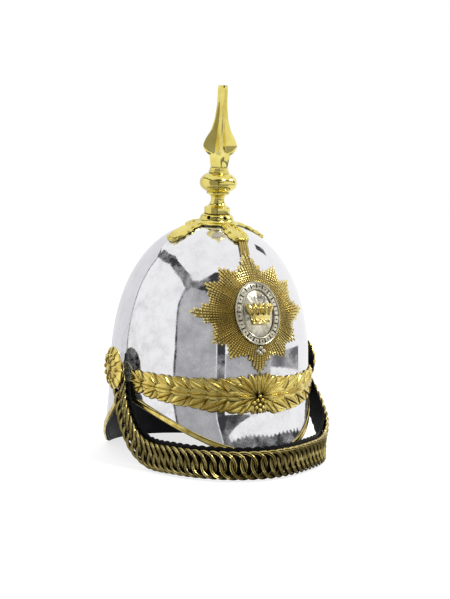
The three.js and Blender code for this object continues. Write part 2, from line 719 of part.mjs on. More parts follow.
const earAngle = Math.PI / 2;
const seam = 0.006;
const half = SKULL_SEGMENTS / 2;
const step = Math.PI / half;
helmet.add(piece("skull", skullGeometry(), SILVER));
helmet.add(piece("front_binding", bindingGeometry(-earAngle + seam, earAngle - seam, half), GOLD));
helmet.add(piece("rear_binding", bindingGeometry(earAngle + seam, 3 * earAngle - seam, half), GOLD));
helmet.add(piece("front_peak_lining", liningGeometry(-earAngle + step, earAngle - step, half - 2), LEATHER));
helmet.add(piece("rear_peak_lining", liningGeometry(earAngle + step, 3 * earAngle - step, half - 2), LEATHER));
helmet.add(piece("laurel_wreath", wreathGeometry(), GOLD));
helmet.add(piece("star_plate", starGeometry(), OLD_GOLD));
helmet.add(piece("oval_band", ovalBandGeometry(), PALE_SILVER));
helmet.add(piece("badge_ground", groundGeometry(), PALE_SILVER));
helmet.add(piece("coronet", coronetGeometry(), OLD_GOLD));
helmet.add(piece("crosspiece", crosspieceGeometry(), GOLD));
helmet.add(piece("link_strip", linkStripGeometry(), OLD_GOLD));
helmet.add(piece("knop", knopGeometry(), GOLD));
helmet.add(piece("spike", spikeGeometry(), GOLD));
for (const [name, side] of [["rosette_right", -1], ["rosette_left", 1]]) {
  const rosette = piece(name, rosetteGeometry(side), OLD_GOLD);
  rosette.position.set(0, ROSETTE_Y, ROSETTE_HEIGHT);
  helmet.add(rosette);
}

const chain = new THREE.Group();
const curve = chainCurve();
chain.add(piece("chin_chain", chainGeometry(curve), BRASS));
chain.add(piece("chain_leather", leatherGeometry(curve), LEATHER));

// The origin is moved to the table, under the middle of the whole part
const part = new THREE.Group();
part.add(helmet, chain);
const outline = new THREE.Box3().setFromObject(part, true);
const middle = outline.getCenter(new THREE.Vector3());
part.position.set(-middle.x, -middle.y, -outline.min.z);

export default part;
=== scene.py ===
# %% [markdown]
# # A dragoon helmet in silvered steel and gilt brass
#
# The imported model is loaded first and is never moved. Every piece below is made
# round it, in metres, in the same place as the solid that it dresses.

# %% Load the frame
import math

import bmesh
import bpy
import numpy as np
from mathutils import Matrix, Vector


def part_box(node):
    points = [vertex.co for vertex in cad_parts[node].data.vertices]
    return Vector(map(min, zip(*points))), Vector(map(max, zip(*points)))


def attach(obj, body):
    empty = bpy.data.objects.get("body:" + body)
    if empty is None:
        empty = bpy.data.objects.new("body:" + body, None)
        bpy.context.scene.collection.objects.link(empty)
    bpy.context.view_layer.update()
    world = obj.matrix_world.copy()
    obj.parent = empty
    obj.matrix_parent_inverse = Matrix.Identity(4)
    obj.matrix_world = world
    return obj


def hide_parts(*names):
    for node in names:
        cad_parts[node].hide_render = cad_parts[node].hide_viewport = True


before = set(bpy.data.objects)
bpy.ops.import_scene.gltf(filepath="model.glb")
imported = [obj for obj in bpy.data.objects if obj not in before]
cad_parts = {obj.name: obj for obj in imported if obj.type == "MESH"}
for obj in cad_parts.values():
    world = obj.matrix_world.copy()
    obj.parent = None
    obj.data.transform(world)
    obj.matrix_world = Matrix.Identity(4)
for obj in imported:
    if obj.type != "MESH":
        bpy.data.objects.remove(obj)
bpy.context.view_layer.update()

# %% [markdown]
# ## Camera
#
# The helmet is seen a little from its right, from the height of the wreath, with
# a long lens, so its sides hardly converge. The camera comes first, because each
# later choice is judged through it.

# %% Camera
CAMERA_PLACE = Vector((-0.7184, -1.5367, 0.2580))
CAMERA_TARGET = Vector((0.0142, -0.0026, 0.1575))

camera_data = bpy.data.cameras.new("camera")
camera_data.lens = 101.15
camera_data.sensor_width = 36
camera = bpy.data.objects.new("camera", camera_data)
camera.location = CAMERA_PLACE
camera.rotation_euler = (CAMERA_TARGET - CAMERA_PLACE).to_track_quat("-Z", "Y").to_euler()
bpy.context.scene.collection.objects.link(camera)
bpy.context.scene.camera = camera
print("camera to target:", round((CAMERA_TARGET - CAMERA_PLACE).length, 3), "m")

# %% [markdown]
# ## Shader arithmetic
#
# A finish is a small sum of masks: clouds, scratches, hollows. Writing the sum
# as Python reads better than naming each Math node, so a socket is wrapped in a
# class whose operators add the nodes.

# %% A socket with arithmetic
class Wire:
    """One output of a material's node tree. Operators on it add Math nodes."""

    def __init__(self, sheet, socket):
        self.sheet = sheet
        self.socket = socket

    def _maths(self, operation, first, second):
        return self.sheet.node("ShaderNodeMath", {"operation": operation}, {0: first, 1: second})

    def __add__(self, other):
        return self._maths("ADD", self, other)

    __radd__ = __add__

    def __sub__(self, other):
        return self._maths("SUBTRACT", self, other)

    def __rsub__(self, other):
        return self._maths("SUBTRACT", other, self)

    def __mul__(self, other):
        return self._maths("MULTIPLY", self, other)

    __rmul__ = __mul__


class Sheet:
    """A material's node tree, with one method that adds any node."""

    def __init__(self, name):
        self.material = bpy.data.materials.new(name)
        self.material.use_nodes = True
        self.tree = self.material.node_tree
        self.shader = self.tree.nodes["Principled BSDF"]

    def node(self, kind, settings=None, inputs=None, output=0):
        made = self.tree.nodes.new(kind)
        for key, value in (settings or {}).items():
            if key == "stops":
                self._ramp(made, value)
            else:
                setattr(made, key, value)
        for key, value in (inputs or {}).items():
            self.feed(made.inputs[key], value)
        return Wire(self, made.outputs[output])

    def _ramp(self, made, stops):
        ramp = made.color_ramp
        while len(ramp.elements) < len(stops):
            ramp.elements.new(0.5)
        for element, (place, tone) in zip(ramp.elements, stops):
            element.position = place
            element.color = (tone, tone, tone, 1)

    def feed(self, socket, value):
        if isinstance(value, Wire):
            self.tree.links.new(value.socket, socket)
        else:
            socket.default_value = value

    def noise(self, size_mm, detail=4.0, roughness=0.55, stretch=(1, 1, 1), shift=(0, 0, 0)):
        place = self.node("ShaderNodeTexCoord", output="Object")
        mapped = self.node("ShaderNodeMapping", {}, {"Vector": place, "Scale": stretch, "Location": shift})
        inputs = {"Vector": mapped, "Scale": 1000 / size_mm, "Detail": detail, "Roughness": roughness}
        return self.node("ShaderNodeTexNoise", {}, inputs)

    def ramp(self, value, *stops):
        return self.node("ShaderNodeValToRGB", {"stops": stops}, {"Fac": value})

    def mix(self, share, first, second):
        return self.node("ShaderNodeMix", {"data_type": "RGBA"}, {0: share, 6: first, 7: second}, output=2)

    def shade_from_occlusion(self, reach_mm, open_from, open_to):
        """A mask for painted shade, from ambient occlusion: 1 in the open, 0 deep between two surfaces."""
        found = self.node("ShaderNodeAmbientOcclusion", {"samples": 8}, {"Distance": reach_mm / 1000}, output="AO")
        return self.ramp(found, (open_from, 0.0), (open_to, 1.0))

    def bump(self, height, strength, depth_mm):
        return self.node("ShaderNodeBump", {}, {"Height": height, "Strength": strength, "Distance": depth_mm / 1000})

    def fill(self, **values):
        for key, value in values.items():
            self.feed(self.shader.inputs[key.replace("_", " ")], value)
        return self.material


def tone(red, green, blue):
    """A colour as it is seen on a screen, from 0 to 255, made linear for the shader."""
    linear = [((part / 255 + 0.055) / 1.055) ** 2.4 if part > 10 else part / 255 / 12.92
              for part in (red, green, blue)]
    return (*linear, 1)


print("shader helpers ready")

# %% [markdown]
# ## Silvered steel
#
# The skull is polished like a mirror, and the silver has gone cloudy in patches
# where hands and damp air reached it. A mirror gets its look from what stands
# round it, so the finish only adds what the silver itself has: soft clouds that
# scatter light, grey on a white reflection and pale on a dark one, small dark
# specks, and fine rubbing marks.

# %% Silvered steel
def silvered_steel():
    sheet = Sheet("silvered steel")
    clouds = sheet.noise(19, detail=8, roughness=0.64, shift=(1.3, 0.4, 0.2))
    patches = sheet.ramp(clouds, (0.42, 0.0), (0.6, 1.0))
    fine = sheet.ramp(sheet.noise(9, detail=6, roughness=0.7, shift=(3, 1, 2)), (0.42, 0.0), (0.7, 1.0))
    specks = sheet.ramp(sheet.noise(2.2, detail=3, roughness=0.6, shift=(7, 0, 4)), (0.66, 0.0), (0.74, 1.0))
    haze = patches * (0.35 + 0.65 * fine)
    silver = sheet.mix(haze, tone(236, 236, 238), tone(202, 202, 205))
    silver = sheet.mix(specks * 0.5 * patches, silver, tone(120, 118, 116))
    rubbed = sheet.noise(2.5, detail=2, stretch=(1, 1, 9))
    return sheet.fill(
        Base_Color=silver,
        Metallic=1 - 0.6 * haze,
        Roughness=0.03 + 0.08 * haze + 0.01 * fine,
        Normal=sheet.bump(clouds * 0.6 + rubbed * 0.02, 0.2, 0.4),
    )


silver_finish = silvered_steel()
print("made", silver_finish.name)

# %% [markdown]
# ## Gilt, old gold, brass and worn silver
#
# The fittings are one family: a warm metal that is bright on its high parts and
# rougher in its hollows, where polish doesn't reach, and there painted brown to
# black as shade, which ambient occlusion finds. One function makes them all from
# a bright tone, a dull tone and a hollow tone of painted shade.

# %% Gilt metals
def relief_metal(name, bright, dull, hollow, polish, worn, reach_mm, cloud_mm, grit):
    sheet = Sheet(name)
    clouds = sheet.ramp(sheet.noise(cloud_mm, detail=5), (0.35, 0.0), (0.68, 1.0))
    fine = sheet.noise(1.4, detail=3, roughness=0.6)
    unshaded_part = sheet.shade_from_occlusion(reach_mm, 0.35, 0.9)
    metal = sheet.mix(clouds, tone(*bright), tone(*dull))
    # Painted shade: the colour turns to the hollow tone where ambient occlusion finds a hollow.
    metal = sheet.mix(1 - unshaded_part, metal, tone(*hollow))
    rough = polish + (worn - polish) * clouds + 0.22 * (1 - unshaded_part) + 0.05 * fine
    return sheet.fill(
        Base_Color=metal,
        Metallic=1.0,
        Roughness=rough,
        Normal=sheet.bump(fine, grit, 0.3),
    )


METALS = {
    # bright, dull and hollow tones (the hollow tone is painted shade), then polished and worn roughness, reach of the
    # hollows, cloud size in mm, grit
    "gilt brass": ((244, 224, 132), (196, 168, 76), (66, 50, 18), 0.12, 0.27, 3.6, 9, 0.2),
    "polished gilt": ((240, 226, 134), (216, 196, 98), (96, 82, 28), 0.09, 0.16, 3.2, 18, 0.03),
    "old gold": ((244, 226, 150), (216, 192, 112), (124, 102, 50), 0.12, 0.26, 1.0, 16, 0.15),
    # painted shade: the plate and strip between the beads
    "old gold, shaded in the gaps": ((160, 138, 78), (134, 114, 62), (56, 46, 22), 0.4, 0.5, 1.0, 16, 0.2),
    "worn silver": ((230, 225, 206), (190, 184, 160), (60, 54, 40), 0.14, 0.3, 2.0, 6, 0.2),
    # painted shade: the marks on the oval band
    "silver darkened as shade": ((104, 96, 74), (76, 70, 52), (30, 26, 18), 0.3, 0.45, 2.0, 6, 0.2),
    "chain brass": ((220, 202, 132), (160, 144, 82), (22, 18, 10), 0.14, 0.3, 5.0, 12, 0.1),
}
(gilt_finish, bright_finish, star_finish, star_gap_shade_finish, badge_finish, badge_mark_shade_finish, chain_finish) = [
    relief_metal(name, *values) for name, values in METALS.items()]
print("made", len(METALS), "metals")

# %% [markdown]
# ## Black leather
#
# The linings and the backing of the chain are thin black leather. Its grain is
# a net of small cells, which a Voronoi pattern gives, with creases over it.

# %% Leather
def black_leather():
    sheet = Sheet("black leather")
    place = sheet.node("ShaderNodeTexCoord", output="Object")
    cells = sheet.node("ShaderNodeTexVoronoi", {"feature": "DISTANCE_TO_EDGE"},
                       {"Vector": place, "Scale": 1000 / 1.5})
    grain = sheet.ramp(cells, (0.0, 0.0), (0.12, 1.0))
    creases = sheet.noise(7, detail=5, roughness=0.65, stretch=(1, 1, 2.4))
    rubbed = sheet.ramp(sheet.noise(16, detail=4), (0.5, 0.0), (0.75, 1.0))
    return sheet.fill(
        Base_Color=sheet.mix(rubbed, tone(10, 9, 12), tone(24, 22, 25)),
        Roughness=0.46 + 0.2 * rubbed + 0.12 * creases,
        Specular_IOR_Level=0.12,
        Normal=sheet.bump(grain * 0.5 + creases, 0.4, 0.4),
    )


leather_finish = black_leather()
print("made", leather_finish.name)

# %% [markdown]
# ## Making meshes
#
# Most pieces are grids of points that a formula bends over the skull. These
# helpers turn arrays of points into closed meshes, a shape being a pair of
# points and faces, and one more sets a finished piece on the CAD node that it
# stands for.

# %% Shapes from grids of points
def grid(x, y, z):
    """Points from three coordinates that are spread over the same rows and columns."""
    return np.stack(np.broadcast_arrays(x, y, z), axis=-1)


def bump(x, width):
    """A smooth rise to 1 where x is 0."""
    return np.exp(-(x / width) ** 2)


def circle(count):
    """Angles once round."""
    return np.linspace(0, 2 * np.pi, count, endpoint=False)


def grid_faces(rows, columns, start=0, around=False, flip=False):
    faces = []
    for row in range(rows - 1):
        for column in range(columns if around else columns - 1):
            after = (column + 1) % columns
            quad = [start + row * columns + column, start + row * columns + after,
                    start + (row + 1) * columns + after, start + (row + 1) * columns + column]
            faces.append(quad[::-1] if flip else quad)
    return faces


def slab(top, bottom, around=False):
    """A closed sheet between two grids of points."""
    rows, columns = top.shape[:2]
    count = rows * columns
    faces = grid_faces(rows, columns, 0, around)
    faces += grid_faces(rows, columns, count, around, flip=True)
    rims = [[row * columns + column for column in range(columns)] for row in (0, rows - 1)]
    if not around:
        rims += [[row * columns + column for row in range(rows)] for column in (0, columns - 1)]
    for i, rim in enumerate(rims):
        ring = rim + rim[:1] if around and i < 2 else rim
        for one, two in zip(ring, ring[1:]):
            faces.append([one, two, two + count, one + count])
    return np.concatenate([top.reshape(-1, 3), bottom.reshape(-1, 3)]), faces


def tube(rings):
    """A closed solid through rings of points that all have as many corners."""
    rows, columns = rings.shape[:2]
    faces = grid_faces(rows, columns, 0, around=True)
    faces.append(list(range(columns))[::-1])
    faces.append([(rows - 1) * columns + column for column in range(columns)])
    return rings.reshape(-1, 3), faces


def hoop(rings):
    """A closed band through rings of points, whose last ring meets the first."""
    rows, columns = rings.shape[:2]
    last = (rows - 1) * columns
    faces = grid_faces(rows, columns, 0, around=True)
    faces += [[last + i, last + (i + 1) % columns, (i + 1) % columns, i] for i in range(columns)]
    return rings.reshape(-1, 3), faces


def bent(shape, bend):
    """A shape whose points are moved by a function."""
    return bend(shape[0]), shape[1]


def joined(shapes):
    """Several shapes as one."""
    points, faces, start = [], [], 0
    for part_points, part_faces in shapes:
        points.append(part_points)
        faces += [[corner + start for corner in face] for face in part_faces]
        start += len(part_points)
    return np.concatenate(points), faces


def numbered(*pairs):
    """Several (shape, number of its finish) as one shape and a list of each face's number."""
    return joined([shape for shape, number in pairs]), [number for shape, number in pairs for face in shape[1]]


print("shape helpers ready")

# %% Objects from shapes
def mesh_object(name, shape, finishes, crease_deg=35.0, which=None):
    """An object with shared corners and outward faces; which gives each face the number of its finish."""
    points, faces = shape
    mesh = bpy.data.meshes.new(name)
    mesh.from_pydata(points.tolist(), [], faces)
    for finish in finishes:
        mesh.materials.append(finish)
    if which is not None:
        mesh.polygons.foreach_set("material_index", which)
    work = bmesh.new()
    work.from_mesh(mesh)
    bmesh.ops.remove_doubles(work, verts=work.verts, dist=1e-7)
    bmesh.ops.dissolve_degenerate(work, edges=work.edges, dist=1e-8)
    bmesh.ops.recalc_face_normals(work, faces=work.faces)
    work.to_mesh(mesh)
    work.free()
    mesh.polygons.foreach_set("use_smooth", [True] * len(mesh.polygons))
    mesh.set_sharp_from_angle(angle=math.radians(crease_deg))
    made = bpy.data.objects.new(name, mesh)
    bpy.context.scene.collection.objects.link(made)
    return made


def settle(piece, slot, *nodes):
    """A finished piece rides with the helmet and stands for its CAD nodes."""
    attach(piece, "root")
    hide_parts(*nodes)
    corners = sum(len(face.vertices) - 2 for face in piece.data.polygons)
    size = [round(side * 1000) for side in piece.dimensions]
    print(f"{piece.name}: {corners} triangles, {size} mm")
    return piece


print("object helpers ready")

# %% [markdown]
# ## Copies laid out by Geometry Nodes
#
# Beads, leaves, petals and chain links are one small shape many times over. A
# node tree sets a copy on each vertex of a mesh of places, turns it by two
# directions that the vertex carries, and scales it. The result is made a plain
# mesh, and what has to lie on the skull is laid out flat first and wrapped
# after. Making each copy by hand would work too, but then each size would be
# fixed in the mesh instead of in one named input.

# %% The tree that lays out copies
def copies_tree():
    tree = bpy.data.node_groups.new("lay out copies", "GeometryNodeTree")
    for label, kind in (("Places", "NodeSocketGeometry"), ("Pattern", "NodeSocketObject"),
                        ("Scale", "NodeSocketFloat"), ("Uneven", "NodeSocketFloat"),
                        ("Seed", "NodeSocketInt"), ("Finish", "NodeSocketMaterial")):
        tree.interface.new_socket(label, in_out="INPUT", socket_type=kind)
    tree.interface.new_socket("Copies", in_out="OUTPUT", socket_type="NodeSocketGeometry")

    def node(kind, settings=None, inputs=None):
        made = tree.nodes.new(kind)
        for key, value in (settings or {}).items():
            setattr(made, key, value)
        for key, value in (inputs or {}).items():
            if isinstance(value, bpy.types.NodeSocket):
                tree.links.new(value, made.inputs[key])
            else:
                made.inputs[key].default_value = value
        return made

    def named(label):
        return node("GeometryNodeInputNamedAttribute", {"data_type": "FLOAT_VECTOR"}, {"Name": label}).outputs[0]

    given = node("NodeGroupInput")
    pattern = node("GeometryNodeObjectInfo", {}, {"Object": given.outputs["Pattern"]})
    upright = node("FunctionNodeAlignRotationToVector", {"axis": "Z"}, {"Vector": named("facing")})
    turned = node("FunctionNodeAlignRotationToVector", {"axis": "X", "pivot_axis": "Z"},
                  {"Rotation": upright.outputs[0], "Vector": named("toward")})
    low, high = (node("ShaderNodeMath", {"operation": operation}, {0: 1.0, 1: given.outputs["Uneven"]}).outputs[0]
                 for operation in ("SUBTRACT", "ADD"))
    chance = node("FunctionNodeRandomValue", {"data_type": "FLOAT"}, {2: low, 3: high, "Seed": given.outputs["Seed"]})
    size = node("ShaderNodeVectorMath", {"operation": "SCALE"},
                {0: named("size"), "Scale": given.outputs["Scale"]})
    size = node("ShaderNodeVectorMath", {"operation": "SCALE"}, {0: size.outputs[0], "Scale": chance.outputs[1]})
    spread = node("GeometryNodeInstanceOnPoints", {}, {
        "Points": given.outputs["Places"], "Instance": pattern.outputs["Geometry"],
        "Rotation": turned.outputs[0], "Scale": size.outputs[0]})
    real = node("GeometryNodeRealizeInstances", {}, {"Geometry": spread.outputs[0]})
    dressed = node("GeometryNodeSetMaterial", {}, {"Geometry": real.outputs[0], "Material": given.outputs["Finish"]})
    node("NodeGroupOutput", {}, {"Copies": dressed.outputs[0]})
    return tree


COPIES = copies_tree()


def evaluated_shape(thing):
    """The shape of an object with its modifiers applied."""
    graph = bpy.context.evaluated_depsgraph_get()
    mesh = bpy.data.meshes.new_from_object(thing.evaluated_get(graph))
    points = np.empty(len(mesh.vertices) * 3)
    mesh.vertices.foreach_get("co", points)
    return points.reshape(-1, 3), [list(face.vertices) for face in mesh.polygons]


def copies(pattern_shape, places, sizes, finish, toward=(1, 0, 0), facing=(0, 0, 1), uneven=0.0, seed=1):
    """The shape of a pattern set on each place. All are in the units that they are given in."""
    pattern = mesh_object("pattern", pattern_shape, [finish])
    mesh = bpy.data.meshes.new("places")
    mesh.from_pydata(np.asarray(places, float).tolist(), [], [])
    for label, rows in (("toward", toward), ("facing", facing), ("size", sizes)):
        spread = np.broadcast_to(np.asarray(rows, float), (len(places), 3))
        attribute = mesh.attributes.new(label, "FLOAT_VECTOR", "POINT")
        attribute.data.foreach_set("vector", spread.astype(np.float32).ravel())
    holder = bpy.data.objects.new("places", mesh)
    bpy.context.scene.collection.objects.link(holder)
    modifier = holder.modifiers.new("copies", "NODES")
    modifier.node_group = COPIES
    given = {"Pattern": pattern, "Scale": 1.0, "Uneven": uneven, "Seed": seed, "Finish": finish}
    for item in COPIES.interface.items_tree:
        if item.in_out == "INPUT" and item.name in given:
            modifier[item.identifier] = given[item.name]
    shape = evaluated_shape(holder)
    for thing in (holder, pattern):
        bpy.data.objects.remove(thing)
    return shape


print("copies tree:", len(COPIES.nodes), "nodes")

# %% [markdown]
# ## The skull as a formula
#
# The dome is an oval seen from above, and its outline in height follows a
# superellipse a little fuller than a circle. Below the brow the peaks flare
# outwards. Any fitting is placed by an angle round the skull, a height above
# the brow and a distance off the metal. Sizes are in millimetres here, in the
# helmet's own frame, and one function moves them to the table, where the helmet
# leans forward by a few degrees from its rear peak.

# %% Skull formulas
HALF_WIDTH, FRONT, REAR, HEIGHT, ROUNDNESS = 96.5, 110.0, 123.0, 150.0, 2.2
BROW, WALL, GAP = 85.0, 1.5, 0.3
LEAN = math.radians(6.4)
FRONT_DROP, FRONT_FLARE, EAR_DROP = 57.0, 26.0, 19.0
REAR_DROP, REAR_FLARE, REAR_EDGE = 100.0, 30.0, 1.6
REAR_CORNER = math.radians(40)
ROSETTE_CENTRE = (-5.0, 7.5)

low, high = (np.array(corner) * 1000 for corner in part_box("rosette_left"))
rosette_y, rosette_z = ((low + high) / 2)[1:]
SHIFT_Y = rosette_y - (ROSETTE_CENTRE[0] * math.cos(LEAN) - ROSETTE_CENTRE[1] * math.sin(LEAN))
SHIFT_Z = rosette_z - (BROW + ROSETTE_CENTRE[0] * math.sin(LEAN) + ROSETTE_CENTRE[1] * math.cos(LEAN))


def to_row(points):
    """From the helmet's frame in millimetres to the row's frame in metres."""
    x, y, z = np.moveaxis(np.asarray(points, float), -1, 0)
    back = y * math.cos(LEAN) - z * math.sin(LEAN) + SHIFT_Y
    up = y * math.sin(LEAN) + z * math.cos(LEAN) + BROW + SHIFT_Z
    return grid(x, back, up) / 1000


def fullness(height):
    share = np.clip(height / HEIGHT, 0, 1)
    return (1 - share ** ROUNDNESS) ** (1 / ROUNDNESS)


def edge_height(angle):
    """Height of the lower edge, for angles from 0 at the front to pi at the back."""
    turned = np.abs((angle + np.pi) % (2 * np.pi) - np.pi)
    front = -FRONT_DROP + (FRONT_DROP - EAR_DROP) * np.sin(turned) ** 2
    from_back = np.pi - turned
    y = (REAR + REAR_FLARE) * np.cos(from_back)
    at_table = (REAR_EDGE - BROW - y * math.sin(LEAN)) / math.cos(LEAN)
    rise = np.clip((from_back - REAR_CORNER) / (np.pi / 2 - REAR_CORNER), 0, None)
    share = 0.75 * rise + 0.25 * rise ** 8
    return np.where(turned < np.pi / 2, front, at_table * (1 - share) - EAR_DROP * share)


def skull_point(angle, height):
    angle, height = np.broadcast_arrays(np.asarray(angle, float), np.asarray(height, float))
    front = np.cos(angle) > 0
    k = fullness(height)
    below = np.maximum(0, -height) / np.where(front, FRONT_DROP, REAR_DROP)
    flare = below ** 1.8 * np.where(front, FRONT_FLARE, REAR_FLARE)
    depth = np.where(front, FRONT, REAR) * k + flare
    return grid(HALF_WIDTH * k * np.sin(angle), -depth * np.cos(angle), height)


def unit(vectors):
    return vectors / np.linalg.norm(vectors, axis=-1, keepdims=True)


def on_skull(angle, height, offset):
    step = 0.01
    low = np.minimum(height, HEIGHT - 1)
    around = skull_point(angle + step, low) - skull_point(angle - step, low)
    up = skull_point(angle, low + step * 20) - skull_point(angle, low - step * 20)
    normal = unit(np.cross(around, up))
    return skull_point(angle, height) + normal * np.asarray(offset, float)[..., None]


def on_front(side, height, offset):
    share = np.clip(side / (HALF_WIDTH * fullness(height)), -1, 1)
    return on_skull(np.arcsin(share), height, offset)


def on_crown(x, y, offset):
    x, y = np.broadcast_arrays(np.asarray(x, float), np.asarray(y, float))
    depth = np.where(y < 0, FRONT, REAR)
    share = np.hypot(x / HALF_WIDTH, y / depth)
    z = HEIGHT * (1 - share ** ROUNDNESS) ** (1 / ROUNDNESS)
    slope = share ** (ROUNDNESS - 2) * HEIGHT ** ROUNDNESS / z ** (ROUNDNESS - 1)
    normal = unit(grid(slope * x / HALF_WIDTH ** 2, slope * y / depth ** 2, 1.0))
    return grid(x, y, z) + normal * np.asarray(offset, float)[..., None]


print("shift on the table:", round(float(SHIFT_Y), 3), round(float(SHIFT_Z), 3), "mm")

# %% [markdown]
# ## Skull and peaks
#
# One thin shell: the dome and both peaks were raised from sheet, and the peaks'
# seams are under the wreath. Outer and inner walls share the same grid, so the
# wall has one thickness. The inner wall has the dark lining colour.

# %% Skull
SKULL_AROUND, DOME_ROWS, PEAK_ROWS = 160, 44, 26


def skull_wall(offset):
    angles = circle(SKULL_AROUND)
    turns = np.linspace(0, np.pi / 2, DOME_ROWS + 1)
    rows = [np.broadcast_to([0.0, 0.0, HEIGHT + offset], (SKULL_AROUND, 3))]
    rows += [on_skull(angles, HEIGHT * math.cos(turn), offset) for turn in turns[1:]]
    shares = np.linspace(0, 1, PEAK_ROWS + 1)[1:]
    rows += [on_skull(angles, edge_height(angles) * share, offset) for share in shares]
    return np.stack(rows)


skull = mesh_object("skull.shell", slab(to_row(skull_wall(0.0)), to_row(skull_wall(-WALL)), around=True),
                    [silver_finish, leather_finish], crease_deg=60)
middle = to_row([0, 0, 20])
for face in skull.data.polygons:
    outward = np.array(face.center) - middle
    face.material_index = int(np.dot(outward, face.normal) < 0)
settle(skull, "silvered_steel", "skull")

# %% [markdown]
# ## Bindings
#
# The peaks' edges are held by a strip of gilt brass folded over them. Its
# section is a U with round folds and a raised line along the upper edge, and its
# inner side is covered with the lining's leather. The section is carried round
# the edge between the two ears.

# %% Bindings
BINDING_SECTION = [
    (0.5, 3.7), (0.8, 4.1), (1.5, 4.1), (1.75, 3.6), (1.4, 3.0), (1.1, 1.2), (1.5, -0.4), (1.3, -1.1), (0.8, -1.5),
    (-0.8, -1.55), (-2.2, -1.5), (-2.8, -1.1), (-3.0, -0.4), (-3.0, 2.0), (-2.8, 2.5), (-2.2, 2.5), (-2.0, 2.2),
    (-2.0, -0.5), (0.5, -0.5),
]
INNER_SIDE = range(9, 16)
SEAM = 0.006


def binding(name, start, end, steps):
    angles = np.linspace(start, end, steps)[:, None]
    offsets, lifts = np.array(BINDING_SECTION).T
    shape = tube(to_row(on_skull(angles, edge_height(angles) + lifts, offsets)))
    inner = [int(i % len(offsets) in INNER_SIDE) for i in range(len(shape[1]) - 2)]
    return mesh_object(name, shape, [gilt_finish, leather_finish], 50, which=inner + [0, 0])


quarter = np.pi / 2
settle(binding("binding.front", -quarter + SEAM, quarter - SEAM, 120), "gilt", "front_binding")
settle(binding("binding.rear", quarter + SEAM, 3 * quarter - SEAM, 140), "gilt", "rear_binding")

# %% [markdown]
# ## Linings of the peaks
#
# Each peak is lined with black leather that stops just above the binding. It is
# a thin sheet along the inner wall, with a stitched welt near its lower edge.

# %% Linings
LINING_NEAR, LINING_FAR = 2.2, 3.4


def lining(name, start, end, steps):
    angles = np.linspace(start, end, steps)[:, None]
    shares = np.linspace(0, 1, 16)[None, :]
    low = edge_height(angles) + 3.1
    heights = low + (edge_height(angles) / 4 - low) * shares
    welt = 0.5 * bump(heights - low - 3.0, 0.8)
    inner = on_skull(angles, heights, -LINING_FAR - welt)
    outer = on_skull(angles, heights, -LINING_NEAR)
    return mesh_object(name, slab(to_row(outer), to_row(inner)), [leather_finish])


LINING_END = np.pi / 18
for where, start, steps in (("front", -quarter, 90), ("rear", quarter, 110)):
    made = lining(f"lining.{where}", start + LINING_END, start + 2 * quarter - LINING_END, steps)
    settle(made, "black_leather", f"{where}_peak_lining")

# %% [markdown]
# ## Laurel wreath
#
# Two branches of laurel are stamped from gilt brass and meet at a knot over the
# front peak. Each branch is a row of tufts, and a tuft is five leaves that
# spread like fingers towards the ear, with their tips over the next tuft. The
# leaf is modelled once: a raised midrib, a groove on each side of it and faint
# side veins. The copies are laid out flat and then wrapped round the skull, and
# a bunch of berries hangs from the knot.

# %% One laurel leaf
LEAF_LENGTHS = np.linspace(0, 1, 13)
LEAF_WIDTHS = np.array([-1, -0.78, -0.5, -0.2, -0.09, 0, 0.09, 0.2, 0.5, 0.78, 1])
VEIN = 0.07


def leaf_shape():
    """A leaf from (0, 0) to (1, 0), half a unit wide, and a tenth high."""
    t, v = LEAF_LENGTHS[:, None], LEAF_WIDTHS[None, :]
    half = 0.5 * np.sin(np.pi * t ** 1.05) ** 0.58 + 0.012
    midrib, grooves = 0.34 * bump(v, 0.1), -0.24 * bump(np.abs(v) - 0.2, 0.1)
    veins = VEIN * np.cos(2 * np.pi * (6 * t - 1.6 * np.abs(v)))
    arch = np.sin(np.pi * np.clip(0.12 + 0.82 * t, 0, 1)) ** 0.6
    top = arch * (0.66 * (1 - 0.85 * v ** 2) + midrib + grooves + veins)
    return slab(grid(t, half * v, top), grid(t, half * v, -0.25))


WREATH_ARC = HALF_WIDTH * 1.1
WREATH_END = math.radians(78)
leaf = leaf_shape()
print("leaf:", len(leaf[1]), "faces")

# %% Two branches, laid out flat and wrapped round the skull
TUFTS = 7
TUFT_FINGERS = [
    # slope in degrees, length, width, lift from the middle line, all as shares of the tuft's height
    (50, 0.60, 0.34, 0.05),
    (-50, 0.60, 0.34, -0.05),
    (24, 0.82, 0.36, 0.10),
    (-24, 0.82, 0.36, -0.10),
    (0, 0.86, 0.34, 0.0),
]


TUFTS_FROM, TUFTS_SPAN, TUFTS_EASE = 0.07, 0.8, 0.96
FAN = [(86, 21), (66, 24), (46, 26), (26, 27), (2, 26), (-24, 25), (-48, 22), (-72, 18)]  # slope, length
WIDTH_AT_KNOT, WIDTH_AT_EAR, MIDDLE_AT_KNOT, MIDDLE_AT_EAR = 36, 20, -3, -1
LEAF_THICK, FAN_LEAF_WIDE, FAN_LEAF_THICK = 2.5, 8.4, 2.4


def wreath_size(share):
    """Height and middle line, from the knot (0) to the ends (1)."""
    return (WIDTH_AT_KNOT + (WIDTH_AT_EAR - WIDTH_AT_KNOT) * share,
            MIDDLE_AT_KNOT + (MIDDLE_AT_EAR - MIDDLE_AT_KNOT) * share)


def wreath_leaves():
    """Place, direction and size of each leaf in the tufts."""
    for side in (-1, 1):
        for i in range(TUFTS):
            share = TUFTS_FROM + TUFTS_SPAN * (i / (TUFTS - 1)) ** TUFTS_EASE
            height, centre = wreath_size(share)
            for slope, length, width, lift in TUFT_FINGERS:
                turn = math.radians(slope)
                rise = 0.9 - abs(slope) / 70
                yield ((side * share * WREATH_END * WREATH_ARC, centre + lift * height, 1.2 + rise),
                       (side * math.cos(turn), math.sin(turn), 0.08), (length * height, width * height, LEAF_THICK))


